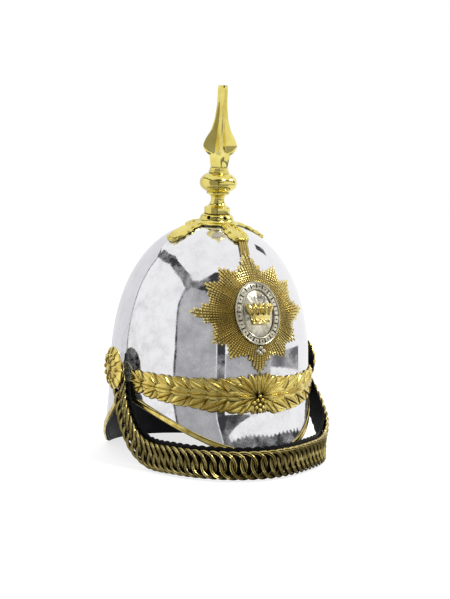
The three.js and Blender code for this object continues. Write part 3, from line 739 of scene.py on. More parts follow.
def fan_leaves():
    for side in (-1, 1):
        for slope, length in FAN:
            turn = math.radians(slope)
            yield ((side * 1.5, MIDDLE_AT_KNOT, 2.4 + (abs(slope) % 4) / 4),
                   (side * math.cos(turn), math.sin(turn), 0.03), (length, FAN_LEAF_WIDE, FAN_LEAF_THICK))


def wrap_wreath(points):
    """Flat wreath to skull: x runs round it, y is a height and z a distance off the metal."""
    return to_row(on_skull(points[:, 0] / WREATH_ARC, points[:, 1], points[:, 2]))


def wreath_band():
    share = np.linspace(-1, 1, 90)[:, None]
    height, centre = wreath_size(np.abs(share))
    x = share * WREATH_END * WREATH_ARC
    y = centre + np.linspace(-0.5, 0.5, 7)[None, :] * height * 0.55
    return slab(grid(x, y, 1.5), grid(x, y, 0.6))


parts = [wreath_band()]
for rows in (list(wreath_leaves()), list(fan_leaves())):
    places, toward, sizes = zip(*rows)
    parts.append(copies(leaf, places, sizes, gilt_finish, toward, uneven=0.05, seed=4))
    print("leaves:", len(rows))

# %% Berries under the knot
def ball_shape(rows=6, columns=10):
    """A ball of radius 1."""
    turns, spins = np.linspace(0, np.pi, rows + 1)[:, None], circle(columns)[None, :]
    points = grid(np.sin(turns) * np.cos(spins), np.sin(turns) * np.sin(spins), np.cos(turns))
    return points.reshape(-1, 3), grid_faces(rows + 1, columns, 0, around=True)


ball = ball_shape()
berries = [(0, -17.4, 3.6), (-3.8, -14.4, 3.8), (3.6, -14.6, 3.8), (-0.2, -11.8, 4.2), (-6.0, -9.8, 3.9),
           (6.0, -9.6, 3.9), (-2.6, -7.4, 4.5), (2.6, -7.2, 4.5), (0, -3.0, 4.7)]
parts.append(copies(ball, berries, (2.5, 2.5, 1.7), gilt_finish, uneven=0.16, seed=7))
wreath = mesh_object("wreath.laurel", bent(joined(parts), wrap_wreath), [gilt_finish], 50)
settle(wreath, "gilt", "laurel_wreath")

# %% [markdown]
# ## Rayed star
#
# The star is struck from thin metal: straight rows of small cut beads run out
# from the oval to twelve points, and each row ends in a little point of its
# own, which makes the rays' stepped edges. A bead is a cut pyramid. The rows
# are copies on a polar grid, whose beads grow with their distance, so they stay
# square. The plate under them has a darker finish, painted shade between the beads.

# %% Star outline and plate
STAR_HEIGHT, STAR_SIDE, STAR_UP = 73.5, 57.0, 53.5
STAR_SEAT = 1.2
STAR_ROWS = 108
OVAL_WIDE, OVAL_TALL, OVAL_BAND = 22.0, 28.0, 7.0
LOW_REACH, RAY_RISE = 0.74, 1.3
STAR_REACH = [
    # degrees from a main ray, share of the star's reach
    (0, 1.0), (4, 0.93), (8, 0.84), (17, 0.74), (26, 0.8), (33.4, 0.91), (39, 0.81), (45, 0.75), (51, 0.81),
    (56.6, 0.91), (64, 0.8), (73, 0.74), (82, 0.84), (86, 0.93), (90, 1.0),
]


def star_reach(angle):
    degrees, reach = np.array(STAR_REACH).T
    return np.interp(np.degrees(angle) % 90, degrees, reach)


def star_lift(angle, ring):
    """Each ray stands a little higher along its middle."""
    share = np.clip((star_reach(angle) - LOW_REACH) / 0.2, 0, 1)
    return 0.9 + RAY_RISE * share * np.clip((ring - 0.35) / 0.3, 0, 1) * np.clip((1.02 - ring) / 0.3, 0, 1)


def star_flat(angle, ring, lift):
    return grid(ring * STAR_SIDE * np.sin(angle), ring * STAR_UP * np.cos(angle), lift)


def dish(top, bottom):
    """A closed plate between two grids whose rows run from the rim's angles and whose columns run outwards."""
    return slab(np.swapaxes(top, 0, 1), np.swapaxes(bottom, 0, 1), around=True)


def star_plate():
    angle = circle(STAR_ROWS * 2)[:, None]
    reach = star_reach(angle)
    reach[1::2] *= 0.94
    ring = reach * np.linspace(0, 1, 12)[None, :]
    return dish(star_flat(angle, ring, star_lift(angle, ring)), star_flat(angle, ring, 0.0))


def wrap_star(points):
    return to_row(on_front(points[:, 0], STAR_HEIGHT + points[:, 1], STAR_SEAT + points[:, 2]))


plate = star_plate()
print("star plate:", len(plate[1]), "faces")

# %% Cut beads in rows
def bead_shape():
    """A cut bead one unit square: four slopes up to a small flat top."""
    corners = np.array([(-1, -1), (1, -1), (1, 1), (-1, 1)]) / 2
    layers = [(1.0, 0.0), (0.92, 0.35), (0.3, 1.0)]
    rings = np.stack([np.column_stack([corners * share, np.full(4, up)]) for share, up in layers])
    return tube(rings)


ROWS_FROM, OVAL_COVERS = 0.36, 0.86
BEAD_LONG, LAST_BEAD_LONG, BEAD_WIDE = 0.8, 1.5, 0.78
ROW_UNEVEN = 0.012


def star_beads():
    """Place, direction and size of each bead, row by row from the oval outwards."""
    step = 2 * np.pi / STAR_ROWS
    for row in range(STAR_ROWS):
        angle = row * step + 0.0004
        reach = float(star_reach(angle)) + (-ROW_UNEVEN if row % 2 else ROW_UNEVEN)
        ring = ROWS_FROM
        while ring < reach:
            side, up = ring * STAR_SIDE * math.sin(angle), ring * STAR_UP * math.cos(angle)
            span = ring * step * 55
            long = LAST_BEAD_LONG if ring * (1 + step) >= reach else BEAD_LONG
            if (side / OVAL_WIDE) ** 2 + (up / OVAL_TALL) ** 2 > OVAL_COVERS:
                yield ((side, up, float(star_lift(angle, ring)) - 0.1),
                       (STAR_SIDE * math.sin(angle), STAR_UP * math.cos(angle), 0),
                       (span * long, span * BEAD_WIDE, 0.35 + 0.28 * span))
            ring *= 1 + step * 0.98


places, toward, sizes = zip(*star_beads())
beads = copies(bead_shape(), places, sizes, star_finish, toward, uneven=0.03, seed=2)
# The plate takes the darker finish as painted shade between the beads.
shape, which = numbered((plate, 1), (beads, 0))
star = mesh_object("star.rays", bent(shape, wrap_star), [star_finish, star_gap_shade_finish], 25, which)
print("beads on the star:", len(places))
settle(star, "old_gold", "star_plate")

# %% [markdown]
# ## The oval and what it holds
#
# A silvered oval band with raised rims stands on the star, with a small buckle
# at its foot. Its field carries a plain row of pellets and bars, painted dark as
# the shade round raised letters. The ground inside it is a shallow dome, and on
# that is a plain open coronet.

# %% Oval band
OVAL_SEAT = 4.4 - STAR_SEAT


BAND_SECTION = [
    # distance inward, height
    (0, -1.6), (-0.2, 0.6), (0.1, 1.6), (0.7, 2.0), (1.3, 1.7), (1.7, 1.0), (3.5, 1.15), (5.3, 1.0),
    (5.7, 1.7), (6.3, 2.0), (6.9, 1.6), (7.2, 0.6), (7.0, -0.6),
]
BAND_MARKS = 40


def oval_ring():
    spin = circle(96)[:, None]
    inward, up = np.array(BAND_SECTION).T
    return hoop(grid((OVAL_WIDE - inward) * np.sin(spin), (OVAL_TALL - inward) * np.cos(spin), OVAL_SEAT + up))


def band_places(spin):
    """Places round the middle of the band, and the directions across it."""
    inward = OVAL_BAND / 2
    places = grid((OVAL_WIDE - inward) * np.sin(spin), (OVAL_TALL - inward) * np.cos(spin), OVAL_SEAT + 1.0)
    return places, grid(np.sin(spin) / OVAL_WIDE, np.cos(spin) / OVAL_TALL, 0.0)


turns = 2 * np.pi * (np.arange(BAND_MARKS) + 0.5) / BAND_MARKS
bars, bar_toward = band_places(turns[::2])
# The pellets and bars take the darker finish: painted shade for the shadows round raised letters.
marks = [copies(ball_shape(4, 8), band_places(turns[1::2])[0], (0.85, 0.85, 0.8), badge_finish, seed=3),
         copies(bead_shape(), bars, (3.2, 1.3, 0.9), badge_finish, bar_toward, seed=3)]
buckle_places = [(0, -30.4, OVAL_SEAT - 0.4), (-2.6, -33.4, OVAL_SEAT - 0.8), (2.6, -33.4, OVAL_SEAT - 0.8),
                 (0, -35.4, OVAL_SEAT - 1.0)]
buckle = copies(ball, buckle_places, (2.6, 2.1, 1.5), badge_finish, uneven=0.1, seed=9)
shape, which = numbered((oval_ring(), 0), (joined(marks), 1), (buckle, 0))
band = mesh_object("badge.oval_band", bent(shape, wrap_star), [badge_finish, badge_mark_shade_finish], 40, which)
settle(band, "silver", "oval_band")

# %% Ground inside the oval
def ground():
    spin, ring = circle(64)[:, None], np.linspace(0, 1, 14)[None, :]
    x = ring * (OVAL_WIDE - OVAL_BAND - 0.3) * np.sin(spin)
    y = ring * (OVAL_TALL - OVAL_BAND - 0.3) * np.cos(spin)
    rise = 0.4 + 1.5 * (1 - ring ** 2)
    flutes = 0.14 * np.cos(spin * 16) * np.sin(np.pi * ring) ** 0.8
    return dish(grid(x, y, OVAL_SEAT + rise + flutes), grid(x, y, OVAL_SEAT))


settle(mesh_object("badge.ground", bent(ground(), wrap_star), [badge_finish]), "silver", "badge_ground")

# %% Coronet
CORONET_SEAT = OVAL_SEAT + 2.6
CORONET_WIDE, CORONET_TALL, CORONET_POINTS = 21.0, 19.0, 5


def coronet_body():
    """A rim that swells upwards, with a leaf between two dips for each point."""
    side, up = np.linspace(-1, 1, 61)[:, None], np.linspace(0, 1, 12)[None, :]
    wave = 0.5 + 0.5 * np.cos(side * (CORONET_POINTS - 1) * np.pi)
    top_edge = CORONET_TALL * (0.4 + 0.2 * wave ** 1.4)
    x = side * CORONET_WIDE / 2 * (0.74 + 0.26 * up)
    y = -CORONET_TALL / 2 + top_edge * up
    bulge = 1.5 + 0.9 * np.cos(side * np.pi / 2) - 0.3 * up
    rim = 0.6 * bump(up - 0.12, 0.09) + 0.45 * bump(up - 0.36, 0.05)
    return slab(grid(x, y, CORONET_SEAT + bulge + rim), grid(x, y, CORONET_SEAT))


def coronet_row(shares, wide, up, lift):
    """Places in a level row, from shares of its half width."""
    return [(share * wide, CORONET_TALL * up, CORONET_SEAT + lift) for share in shares]


points_at = (-1, -0.5, 0, 0.5, 1)
leaning = [(share * 0.42, 1, 0.02) for share in points_at]
tops = coronet_row((-0.85, -0.3, 0.3, 0.85), 7.0, 0.22, 2.0)
studs = coronet_row((-1, -0.6, -0.2, 0.2, 0.6, 1), 7.2, -0.34, 2.4)
coronet_parts = [
    coronet_body(),
    copies(leaf, coronet_row(points_at, 7.6, -0.08, 1.9), (11.0, 5.2, 1.9), star_finish, leaning, seed=5),
    copies(ball, tops, (1.5, 1.5, 1.5), star_finish, seed=5),
    copies(ball, studs, (0.95, 0.95, 0.9), star_finish, seed=5),
]
coronet = mesh_object("badge.coronet", bent(joined(coronet_parts), wrap_star), [star_finish])
settle(coronet, "old_gold", "coronet")

# %% [markdown]
# ## Crosspiece and link strip
#
# Four leafy arms spread over the crown from a turned base with air holes in it.
# An arm is a hollow tongue with a rib in its middle, whose edges roll into
# lobes, and its end curls up. The whole piece is turned by a few degrees, as it
# was screwed on. The base is turned on a lathe, and the holes are cut by a
# Boolean, whose result is made the mesh. A black leather ball stands behind each
# hole as painted shade inside the base.

# %% Arms
def smooth_curve(x, known_x, known_y):
    """A curve through known points whose slopes never overshoot."""
    known_x, known_y = np.array(known_x), np.array(known_y)
    gaps, slopes = np.diff(known_x), np.diff(known_y) / np.diff(known_x)
    tangents = np.concatenate([slopes[:1], np.where(slopes[1:] * slopes[:-1] > 0,
                               2 * slopes[1:] * slopes[:-1] / (slopes[1:] + slopes[:-1] + 1e-12), 0), slopes[-1:]])
    place = np.clip(np.searchsorted(known_x, x, side="right") - 1, 0, len(gaps) - 1)
    t = (x - known_x[place]) / gaps[place]
    one = known_y[place] * (1 + 2 * t) * (1 - t) ** 2 + known_y[place + 1] * t ** 2 * (3 - 2 * t)
    two = gaps[place] * (tangents[place] * t * (1 - t) ** 2 + tangents[place + 1] * t ** 2 * (t - 1))
    return one + two


ARM_REACH, ARM_WIDTH, ARM_START = 51.5, 16.5, 10.0
CROWN_TURN = math.radians(5)


def arm(angle):
    """A tongue with a middle rib, rolled edges that swell into lobes, and a curled end."""
    along, across = np.linspace(0, 1, 60)[:, None], np.linspace(-1, 1, 25)[None, :]
    outline = smooth_curve(along, [0, 0.2, 0.36, 0.62, 0.84, 0.95, 1], [0.62, 0.42, 0.42, 0.6, 0.56, 0.44, 0.16])
    lobes = 1 + 0.14 * np.abs(np.sin(along * np.pi * 4.5)) * np.clip(along * 4 - 0.6, 0, 1)
    half = outline * lobes * ARM_WIDTH
    reach = ARM_START + (ARM_REACH - ARM_START) * along
    body = (3.0 + 1.2 * along) * np.sqrt(np.clip(1 - across ** 2, 0, 1)) ** 0.6
    trough = -2.3 * np.exp(-(across / 0.48) ** 4)
    rib = 0.5 * bump(across, 0.12)
    furrow = 0.4 * np.cos(2 * np.pi * (4.5 * along - 0.7 * np.abs(across))) * np.abs(across) * (1 - across ** 4)
    curl = 1.5 * bump(along - 0.93, 0.06)
    height = 0.75 + body + (trough + rib + furrow) * np.clip(along * 4 - 0.4, 0, 1) + curl * (1 - across ** 2)
    side = across * half
    x = reach * math.sin(angle) + side * math.cos(angle)
    y = -reach * math.cos(angle) + side * math.sin(angle)
    return slab(on_crown(x, y, height), on_crown(x, y, 0.7))


def lathe(profile, base, around=72):
    """Turns a profile of (radius, height) about the upright axis of the crown."""
    spin = circle(around)[None, :]
    radius, up = np.array(profile).T[:, :, None]
    return tube(grid(radius * np.sin(spin), -radius * np.cos(spin), base + up))


CROWN_FLOOR = HEIGHT + 0.5
BASE_PROFILE = [
    (18.0, -1.0), (21.4, -2.0), (22.0, -1.4), (21.6, -0.5), (20.6, 0.3), (19.2, 1.0), (18.0, 2.0), (17.2, 3.4),
    (16.6, 5.0), (15.9, 6.6), (15.3, 7.4), (14.6, 8.0), (13.8, 8.4), (1.0, 8.4),
]
arms = [arm(turn * np.pi / 2 + CROWN_TURN) for turn in range(4)]
base_piece = mesh_object("base", bent(lathe(BASE_PROFILE, CROWN_FLOOR), to_row), [bright_finish])
print("arms:", len(arms))

# %% Air holes, cut through the base
VENT_RADIUS, VENT_HEIGHT = 1.9, CROWN_FLOOR + 5.7
VENT_TURNS = [i / 6 * 2 * np.pi + CROWN_TURN for i in range(6)]


def with_holes(target):
    """Cuts a level row of round holes whose axes point outwards. Gives the shape, and removes the object."""
    spin = circle(20)
    cutters = []
    for turn in VENT_TURNS:
        side, up = VENT_RADIUS * np.cos(spin), VENT_HEIGHT + VENT_RADIUS * np.sin(spin)
        rings = [grid(depth * math.sin(turn) + side * math.cos(turn),
                      -depth * math.cos(turn) + side * math.sin(turn), up) for depth in (12.0, 22.0)]
        cutters.append(tube(to_row(np.stack(rings))))
    cutter = mesh_object("cutter", joined(cutters), [])
    modifier = target.modifiers.new("holes", "BOOLEAN")
    modifier.object = cutter
    modifier.operation = "DIFFERENCE"
    shape = evaluated_shape(target)
    for thing in (target, cutter):
        bpy.data.objects.remove(thing)
    return shape


base_shape = with_holes(base_piece)
# Painted shade: a black ball behind each air hole darkens the inside of the base.
shade_ball_places = [(13.4 * math.sin(turn), -13.4 * math.cos(turn), VENT_HEIGHT) for turn in VENT_TURNS]
hole_shade_balls = copies(ball, shade_ball_places, (2.3, 2.3, 2.3), leather_finish)
shape, which = numbered((bent(joined(arms), to_row), 0), (bent(hole_shade_balls, to_row), 1), (base_shape, 0))
crosspiece = mesh_object("crown.crosspiece", shape, [bright_finish, leather_finish], which=which)
settle(crosspiece, "gilt", "crosspiece")

# %% Link strip
STRIP_FROM, STRIP_TO, STRIP_WIDE = 49.5, 65.8, 4.6


def along_strip(side, reach, lift):
    """The strip leaves the turned arm and ends on the middle of the star."""
    lean = STRIP_FROM * math.sin(CROWN_TURN) * (STRIP_TO + 2 - reach) / (STRIP_TO - STRIP_FROM)
    return on_crown(side + lean, -reach, lift)


strip_side = np.linspace(-STRIP_WIDE, STRIP_WIDE, 9)[None, :]
strip_reach = np.linspace(STRIP_FROM, STRIP_TO, 10)[:, None]
strip = slab(along_strip(strip_side, strip_reach, 1.9), along_strip(strip_side, strip_reach, 0.7))
spots = [(side, -reach, 1.5) for reach in np.arange(STRIP_FROM + 1, STRIP_TO, 2.0)
         for side in (-3.45, -1.15, 1.15, 3.45)]
beads = bent(copies(bead_shape(), spots, (2.0, 1.75, 1.2), star_finish, seed=6),
             lambda points: along_strip(points[:, 0], -points[:, 1], points[:, 2]))
# The strip under the beads takes the darker finish as painted shade between them.
shape, which = numbered((strip, 1), (beads, 0))
strip_piece = mesh_object("crown.link_strip", bent(shape, to_row), [star_finish, star_gap_shade_finish], 25, which)
settle(strip_piece, "old_gold", "link_strip")

# %% [markdown]
# ## Knop and spike
#
# The finial is turned and then filed: a collar, a waisted neck and a round
# knop, and above it a four-sided spike with hollow flanks and a lug on each
# ridge, cut off square at its tip. The knop is a lathe profile with small
# fillets, and the spike is a stack of sections whose ridges and flanks follow
# two smooth curves.

# %% Knop
FINIAL_SEAT = CROWN_FLOOR + BASE_PROFILE[-1][1] + GAP
KNOP_PROFILE = [
    (1.0, 0), (12.4, 0), (12.9, 0.5), (13.0, 5.2), (12.8, 6.2), (12.0, 6.9), (10.6, 7.2), (9.3, 7.9), (8.2, 9.2),
    (7.3, 11.0), (6.7, 12.9), (6.6, 14.6), (6.9, 16.4), (7.7, 17.8), (9.2, 18.9), (10.6, 19.4),
    (11.4, 20.0), (11.6, 20.9), (11.3, 21.7), (11.9, 22.4), (14.0, 23.3), (16.2, 24.9), (17.8, 27.2), (18.6, 29.6),
    (18.7, 31.2), (18.2, 33.6), (16.9, 36.0), (14.7, 38.2), (12.2, 39.6), (10.4, 40.2), (10.0, 40.8), (10.3, 41.5),
    (10.2, 42.3), (9.4, 42.8), (9.3, 45.3), (8.8, 45.9), (1.0, 46.0),
]
knop = bent(lathe(KNOP_PROFILE, FINIAL_SEAT, around=96), to_row)
settle(mesh_object("finial.knop", knop, [bright_finish], 28), "bright_gilt", "knop")

# %% Spike
SPIKE_SEAT = FINIAL_SEAT + KNOP_PROFILE[-1][1] + GAP
SPIKE_TALL, LUG_REACH = 81.0, 17.0
SPIKE_TURN = math.radians(21)
SPIKE_SECTIONS = [
    # share of the height, flank, ridge
    (0, 0.5, 0.5), (0.06, 0.47, 0.55), (0.13, 0.52, 0.6), (0.2, 0.6, 0.9), (0.265, 0.6, 1.0), (0.34, 0.52, 0.88),
    (0.45, 0.42, 0.6), (0.6, 0.28, 0.4), (0.8, 0.22, 0.3), (0.97, 0.22, 0.29), (1, 0.18, 0.235),
]


def spike():
    up, flank, ridge = np.array(SPIKE_SECTIONS).T
    rows = np.linspace(0, 1, 90)[:, None]
    flanks = smooth_curve(rows, up, flank) * LUG_REACH * 0.8
    ridges = smooth_curve(rows, up, ridge) * LUG_REACH
    spin = circle(80)[None, :]
    from_ridge = np.abs((spin + np.pi / 4) % (np.pi / 2) - np.pi / 4)
    facet = ridges * flanks * math.sin(np.pi / 4) / (
        ridges * np.sin(from_ridge) + flanks * np.sin(np.pi / 4 - from_ridge))
    hollow = 1 - 0.12 * np.sin(2 * from_ridge) ** 2 * np.sin(np.pi * rows ** 0.6)
    radius = np.minimum(facet * hollow, ridges * 0.985)
    return tube(to_row(grid(radius * np.sin(spin - SPIKE_TURN), -radius * np.cos(spin - SPIKE_TURN),
                            SPIKE_SEAT + rows * SPIKE_TALL)))


settle(mesh_object("finial.spike", spike(), [bright_finish], 22), "bright_gilt", "spike")

# %% [markdown]
# ## Rosettes
#
# A domed boss on each side carries the chain: two rings of petals with small
# lobes between them, round a button, on a post. The petals are copies of the
# laurel leaf, turned round the middle, with their tips over the scalloped rim.
# Its flat back is leather.

# %% Rosettes
POST_LENGTH, POST_RADIUS = 9.6, 3.0
BOSS_PROFILE = [(1.0, -0.2), (20.0, -0.2), (20.8, 0.3), (20.9, 0.9), (19.6, 1.6), (15.0, 3.2), (9.0, 4.6), (4.0, 5.0),
                (1.0, 5.0)]
POST_PROFILE = [(1.0, -9.8), (2.8, -9.8), (3.0, -9.4), (3.0, -0.1), (1.0, -0.1)]


def round_places(count, reach, lift, start=0.0):
    """Places on a ring, with their angles."""
    turns = (np.arange(count) + start) / count * 2 * np.pi
    return turns, grid(reach * np.cos(turns), reach * np.sin(turns), lift)


def petals(count, reach, lift, size, slope, start=0.0):
    turns, places = round_places(count, reach, lift, start)
    toward = grid(np.cos(turns), np.sin(turns), slope)
    facing = grid(-slope * np.cos(turns), -slope * np.sin(turns), 1.0)
    return copies(leaf, places, size, gilt_finish, toward, facing, seed=8)


def rosette_flat():
    spin = circle(96)[None, :]
    bodies = []
    for profile in (BOSS_PROFILE, POST_PROFILE):
        radius, up = np.array(profile).T[:, :, None]
        rim = 1 - 0.035 * (0.5 - 0.5 * np.cos(spin * 14)) * (radius > 18)
        bodies.append(tube(grid(radius * rim * np.cos(spin), radius * rim * np.sin(spin), up)))
    knobs = [copies(ball, round_places(12, 12.6, 3.9)[1], (2.1, 2.1, 1.9), gilt_finish),
             copies(ball, [(0, 0, 5.2)], (4.2, 4.2, 2.6), gilt_finish)]
    return joined(bodies + knobs + [petals(12, 8.5, 2.6, (12.8, 9.0, 3.0), -0.2),
                                    petals(8, 3.4, 3.6, (9.4, 7.4, 2.8), -0.12, 0.5)])


def to_side(side):
    """Moves a flat rosette to one side of the skull: its z points outwards."""
    seat = HALF_WIDTH + GAP + POST_LENGTH
    return lambda points: to_row(grid(side * (seat + points[:, 2]), ROSETTE_CENTRE[0] + points[:, 0],
                                      ROSETTE_CENTRE[1] + points[:, 1]))


BACK_FROM_M = 0.1055
for node, side in (("rosette_right", -1), ("rosette_left", 1)):
    boss = mesh_object(f"boss.{node}", bent(rosette_flat(), to_side(side)), [gilt_finish, leather_finish])
    for face in boss.data.polygons:
        face.material_index = int(face.normal.x * side < -0.8 and abs(face.center.x) > BACK_FROM_M)
    settle(boss, "old_gold", node)

# %% [markdown]
# ## Chin chain
#
# A curb chain of round links runs from one post, down past the front peak, over
# the table and up to the other post. Each link is a ring of two wires laid side
# by side, given a slight twist so that it lies flat against its neighbours. The
# route repeats the solid chain's own points, and the links are copies set along
# it, turned by the route's direction. The leather behind them is wider than the
# links, and wider still near the posts, beside the wreath's ends.

# %% The chain's route
CHAIN_ROUTE = [
    # across, forward and lift, as shares of the post's reach, of the dome's front and of the post's height
    (-1.0085, 0.1273, 0.6546), (-1.0187, 0.2636, 0.39), (-0.999, 0.4091, 0.1532), (-0.9547, 0.6091, 0.0139),
    (-0.8661, 1, 0), (-0.7283, 1.2818, 0), (-0.4921, 1.4909, 0), (-0.1969, 1.5455, 0), (0.0886, 1.4545, 0),
    (0.374, 1.2727, 0), (0.6398, 1.0455, 0), (0.8366, 0.7818, 0.0209), (0.9744, 0.5545, 0.195),
    (1.0187, 0.3, 0.5293), (1.0065, 0.1364, 0.78),
]
LINK_RADIUS, LINK_WIRE, LINK_TWIST, LINK_PITCH = 11.9, 1.35, 1.85, 9.6
FACES_FROM = 60


def chain_points():
    """Route and both ends, in millimetres on the table, before the shift to the row's frame."""
    hang = LINK_RADIUS - LINK_WIRE - POST_RADIUS - GAP
    post = HALF_WIDTH + GAP + POST_LENGTH / 2
    y = ROSETTE_CENTRE[0] * math.cos(LEAN) - ROSETTE_CENTRE[1] * math.sin(LEAN)
    z = BROW + ROSETTE_CENTRE[0] * math.sin(LEAN) + ROSETTE_CENTRE[1] * math.cos(LEAN) - hang
    rest = LINK_RADIUS + LINK_WIRE
    middle = [(post * across, -forward * FRONT, rest + lift * (z - rest)) for across, forward, lift in CHAIN_ROUTE]
    return np.array([(-post, y, z)] + middle + [(post, y, z)])


def smooth_route(points, steps=60):
    """A centripetal Catmull-Rom curve through the points, as many short steps."""
    ends = np.vstack([2 * points[0] - points[1], points, 2 * points[-1] - points[-2]])
    pieces = []
    for a, b, c, d in zip(ends, ends[1:], ends[2:], ends[3:]):
        knots = np.cumsum([0] + [max(np.linalg.norm(q - p), 1e-9) ** 0.5 for p, q in ((a, b), (b, c), (c, d))])
        t = np.linspace(knots[1], knots[2], steps, endpoint=False)[:, None]

        def between(p, q, i, j):
            return p * (knots[j] - t) / (knots[j] - knots[i]) + q * (t - knots[i]) / (knots[j] - knots[i])

        one, two, three = between(a, b, 0, 1), between(b, c, 1, 2), between(c, d, 2, 3)
        first, second = between(one, two, 0, 2), between(two, three, 1, 3)
        pieces.append(between(first, second, 1, 2))
    return np.vstack(pieces + [points[-1:]])


route = smooth_route(chain_points())
run = np.concatenate([[0], np.cumsum(np.linalg.norm(np.diff(route, axis=0), axis=1))])
CHAIN_LENGTH = run[-1]


def chain_frame(share):
    """Middle, along, across and outward directions at shares of the chain's length."""
    def at(places):
        return grid(*(np.interp(places, run, column) for column in route.T))

    places = np.asarray(share, float) * CHAIN_LENGTH
    middle = at(places)
    along = unit(at(np.minimum(places + 1, CHAIN_LENGTH)) - at(np.maximum(places - 1, 0)))
    away = unit(grid(middle[..., 0], np.minimum(0, middle[..., 1] + FACES_FROM), 0.0))
    out = unit(away - along * np.sum(away * along, axis=-1, keepdims=True))
    return middle, along, np.cross(out, along), out


def table_to_row(points):
    return (points + np.array([0, SHIFT_Y, SHIFT_Z])) / 1000


print("chain length:", round(float(CHAIN_LENGTH)), "mm")

# %% Links
LINK_SECTION = [
    # across the two wires and along the radius, as shares of the wire's radius
    (0.95, 0.66), (0.5, 1.2), (0, 1.36), (-0.5, 1.2), (-0.95, 0.66), (-0.35, 0), (-0.95, -0.66), (-0.5, -1.2),
    (0, -1.36), (0.5, -1.2), (0.95, -0.66), (0.35, 0),
]


def link_shape():
    """A twisted ring whose wire is grooved, so that it looks like two wires side by side."""
    spin = circle(30)[:, None]
    out_share, up_share = np.array(LINK_SECTION).T * LINK_WIRE
    radius = LINK_RADIUS - 0.15 + up_share * 0.92
    return hoop(grid(radius * np.cos(spin), radius * np.sin(spin), out_share + LINK_TWIST * np.sin(2 * spin)))


LINKS = math.ceil(CHAIN_LENGTH / LINK_PITCH)
middles, alongs, acrosses, outs = chain_frame(np.linspace(0, 1, LINKS + 1))
links = bent(copies(link_shape(), middles, (1, 1, 1), chain_finish, alongs, outs), table_to_row)
print("links:", LINKS + 1)
settle(mesh_object("chain.links", links, [chain_finish], 60), "chain_brass", "chin_chain")

# %% Leather behind the links
LEATHER_START, LEATHER_WIDE, LEATHER_LIFT, LEATHER_THICK = 10.0, 27.0, 2.0, 1.4
LEATHER_FLARE, FLARE_REACH = 3.5, 24.0


def chain_leather():
    trim = LEATHER_START / CHAIN_LENGTH
    shares = np.linspace(trim, 1 - trim, 420)
    middle, along, across, out = (part[:, None, :] for part in chain_frame(shares))
    scallop = 1 + 0.1 * np.abs(np.sin(np.pi * shares * LINKS))[:, None, None]
    from_end = np.minimum(shares, 1 - shares) * CHAIN_LENGTH - LEATHER_START
    flare = LEATHER_FLARE * np.exp(-(from_end / FLARE_REACH) ** 2)[:, None, None]
    share = np.linspace(-0.5, 0.5, 7)[None, :, None]
    width = share * LEATHER_WIDE * scallop + LEATHER_LIFT + flare * np.maximum(share, 0) * 2
    seat = LINK_TWIST + LINK_WIRE + GAP
    puff = 0.35 * (1 - (2 * share) ** 2)
    near = middle + across * width - out * (seat - 0.2 * puff)
    far = middle + across * width - out * (seat + LEATHER_THICK - 0.35 + puff)
    return slab(table_to_row(near), table_to_row(far))


settle(mesh_object("chain.leather", chain_leather(), [leather_finish]), "black_leather", "chain_leather")

# %% [markdown]
# ## Floor, light and what the mirror sees
#
# The floor and the surroundings are plain and pale. Polished metal shows the
# room, so cards stand round the helmet where its reflections should have an
# edge, some of them below the horizon, which is why the floor itself isn't
# seen in reflections. The camera doesn't see the cards, and they cast no shadow.

# %% Floor and light
def plain(name, colour, glow_colour, glow):
    sheet = Sheet(name)
    return sheet.fill(Base_Color=colour, Roughness=0.8, Emission_Color=glow_colour, Emission_Strength=glow)


FLOOR_HALF = 30.0
floor_finish = plain("pale floor", tone(150, 150, 150), (1, 1, 1, 1), 0.74)
floor_shape = (np.array([(-1, -1, 0), (1, -1, 0), (1, 1, 0), (-1, 1, 0)]) * FLOOR_HALF, [[0, 1, 2, 3]])
floor = mesh_object("floor", floor_shape, [floor_finish])
floor.visible_glossy = False

world = bpy.data.worlds.new("studio")
world.use_nodes = True
background = world.node_tree.nodes["Background"]
background.inputs["Color"].default_value = (1.0, 1.0, 1.0, 1)
background.inputs["Strength"].default_value = 1.0
bpy.context.scene.world = world
bpy.context.scene.view_settings.view_transform = "Standard"


def soft_light(name, place, size, power):
    data = bpy.data.lights.new(name, "AREA")
    data.shape = "DISK"
    data.size = size
    data.energy = power
    lamp = bpy.data.objects.new(name, data)
    lamp.location = place
    lamp.rotation_euler = (Vector((0, 0, 0.15)) - Vector(place)).to_track_quat("-Z", "Y").to_euler()
    bpy.context.scene.collection.objects.link(lamp)


soft_light("key light", (0.72, -1.97, 2.58), 0.5, 26)
soft_light("side light", (2.0, -0.6, 1.4), 0.7, 16)
print("floor and lights ready")

# %% Cards round the helmet
CARD_DISTANCE, CARD_STEPS, CARD_ROWS = 2.2, 240, 6
CARD_MIDDLE = np.array([0.0, 0.0, 0.17])


def card(name, finish, one_edge, other_edge):
    """A card on a sphere round the helmet, between two edges of (azimuth, elevation) in degrees, 0 at the front."""
    steps = np.linspace(0, 1, CARD_STEPS)
    one, other = (np.stack([np.interp(steps, np.linspace(0, 1, len(edge)), column)
                            for column in np.array(edge, float).T], axis=-1) for edge in (one_edge, other_edge))
    turn, rise = np.moveaxis(np.radians(np.linspace(one, other, CARD_ROWS)), -1, 0)
    rows = grid(np.sin(turn) * np.cos(rise), -np.cos(turn) * np.cos(rise), np.sin(rise))
    points = (CARD_MIDDLE + rows * CARD_DISTANCE).reshape(-1, 3)
    made = mesh_object(name, (points, grid_faces(CARD_ROWS, CARD_STEPS)), [finish])
    made.visible_camera = made.visible_shadow = made.visible_diffuse = False


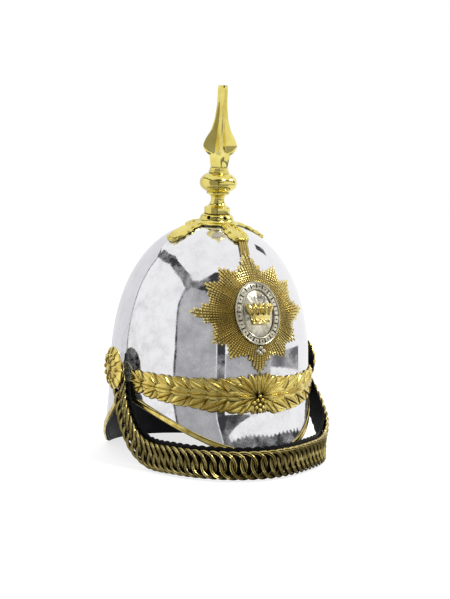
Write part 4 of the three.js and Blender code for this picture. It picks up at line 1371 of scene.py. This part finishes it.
dark, grey, dim, pale = (plain(f"{name} card", (0, 0, 0, 1), tone(level, level, level + 3), 1.0)
                         for name, level in (("dark", 50), ("grey", 164), ("dim", 108), ("pale", 230)))
BOUNDARY = [(-82, -32), (-80, -10), (-79, 0), (-80, 9), (-83, 24), (-81, 32), (-74, 38)]
INNER = [(az + 2.4, rise) for az, rise in BOUNDARY]
TEETH = [(az, np.interp(az, [-46, -12, 28, 45, 77, 98], [30, 34.5, 31.0, 28, 13, 3])
          + 1.8 * abs(math.sin(math.pi * az / 6.6))) for az in np.linspace(-46, 98, 220)]
CARDS = {
    "boundary": (dark, BOUNDARY, INNER),
    "grey_side": (grey, INNER, [(-30, rise) for az, rise in BOUNDARY]),
    "stripe": (dark, [(-29, -34), (-29, 43)], [(-19, -34), (-19, 43)]),
    "grey_front": (grey, [(-18, -34), (44, -34)], [(-18, -3), (44, -3)]),
    "patch": (dim, [(44, -9.8), (98, -9.8)], [(44, -3.4), (98, -3.4)]),
    "band": (dark, [(-81, 33), (-76, 43), (-60, 46), (-35, 57), (0, 61)],
             [(-79, 26), (-72, 30), (-58, 34), (-45, 36), (-6, 43)]),
    "diagonal": (dark, [(-162, 34), (-158, 37), (-132, 48.5), (-105, 50), (-82, 48), (-60, 37.6)],
                 [(-156, 31), (-152, 33), (-126.5, 42), (-110, 42.3), (-92, 40.6), (-66, 31)]),
    "edge": (dark, [(-146.4, -34), (-146.4, -3), (-148.4, 8), (-152.4, 20), (-158, 33), (-187, 25), (-198, 15)],
             [(-144.8, -34), (-144.8, -3), (-146.8, 8), (-150.8, 20), (-155, 31), (-185, 21), (-196, 11)]),
    "pale_edge": (pale, [(-146.6, -34), (-146.6, -3), (-149, 8), (-153, 20), (-158, 30)],
                  [(-200, rise) for rise in (-34, -3, 8, 20, 30)]),
    "wedge": (dark, [(-28, 12), (14, 14)], [(-28, 35), (14, 16)]),
    "crest": (dark, [(106, 35), (116, 34)], [(106, 45), (117, 42)]),
    "teeth": (dark, TEETH, [(az, rise + 14) for az, rise in TEETH]),
    "below": (dim, [(-180, -89), (180, -89)], [(-180, -40), (180, -40)]),
}
for name, values in CARDS.items():
    card(f"card.{name}", *values)
print("cards:", len(CARDS))
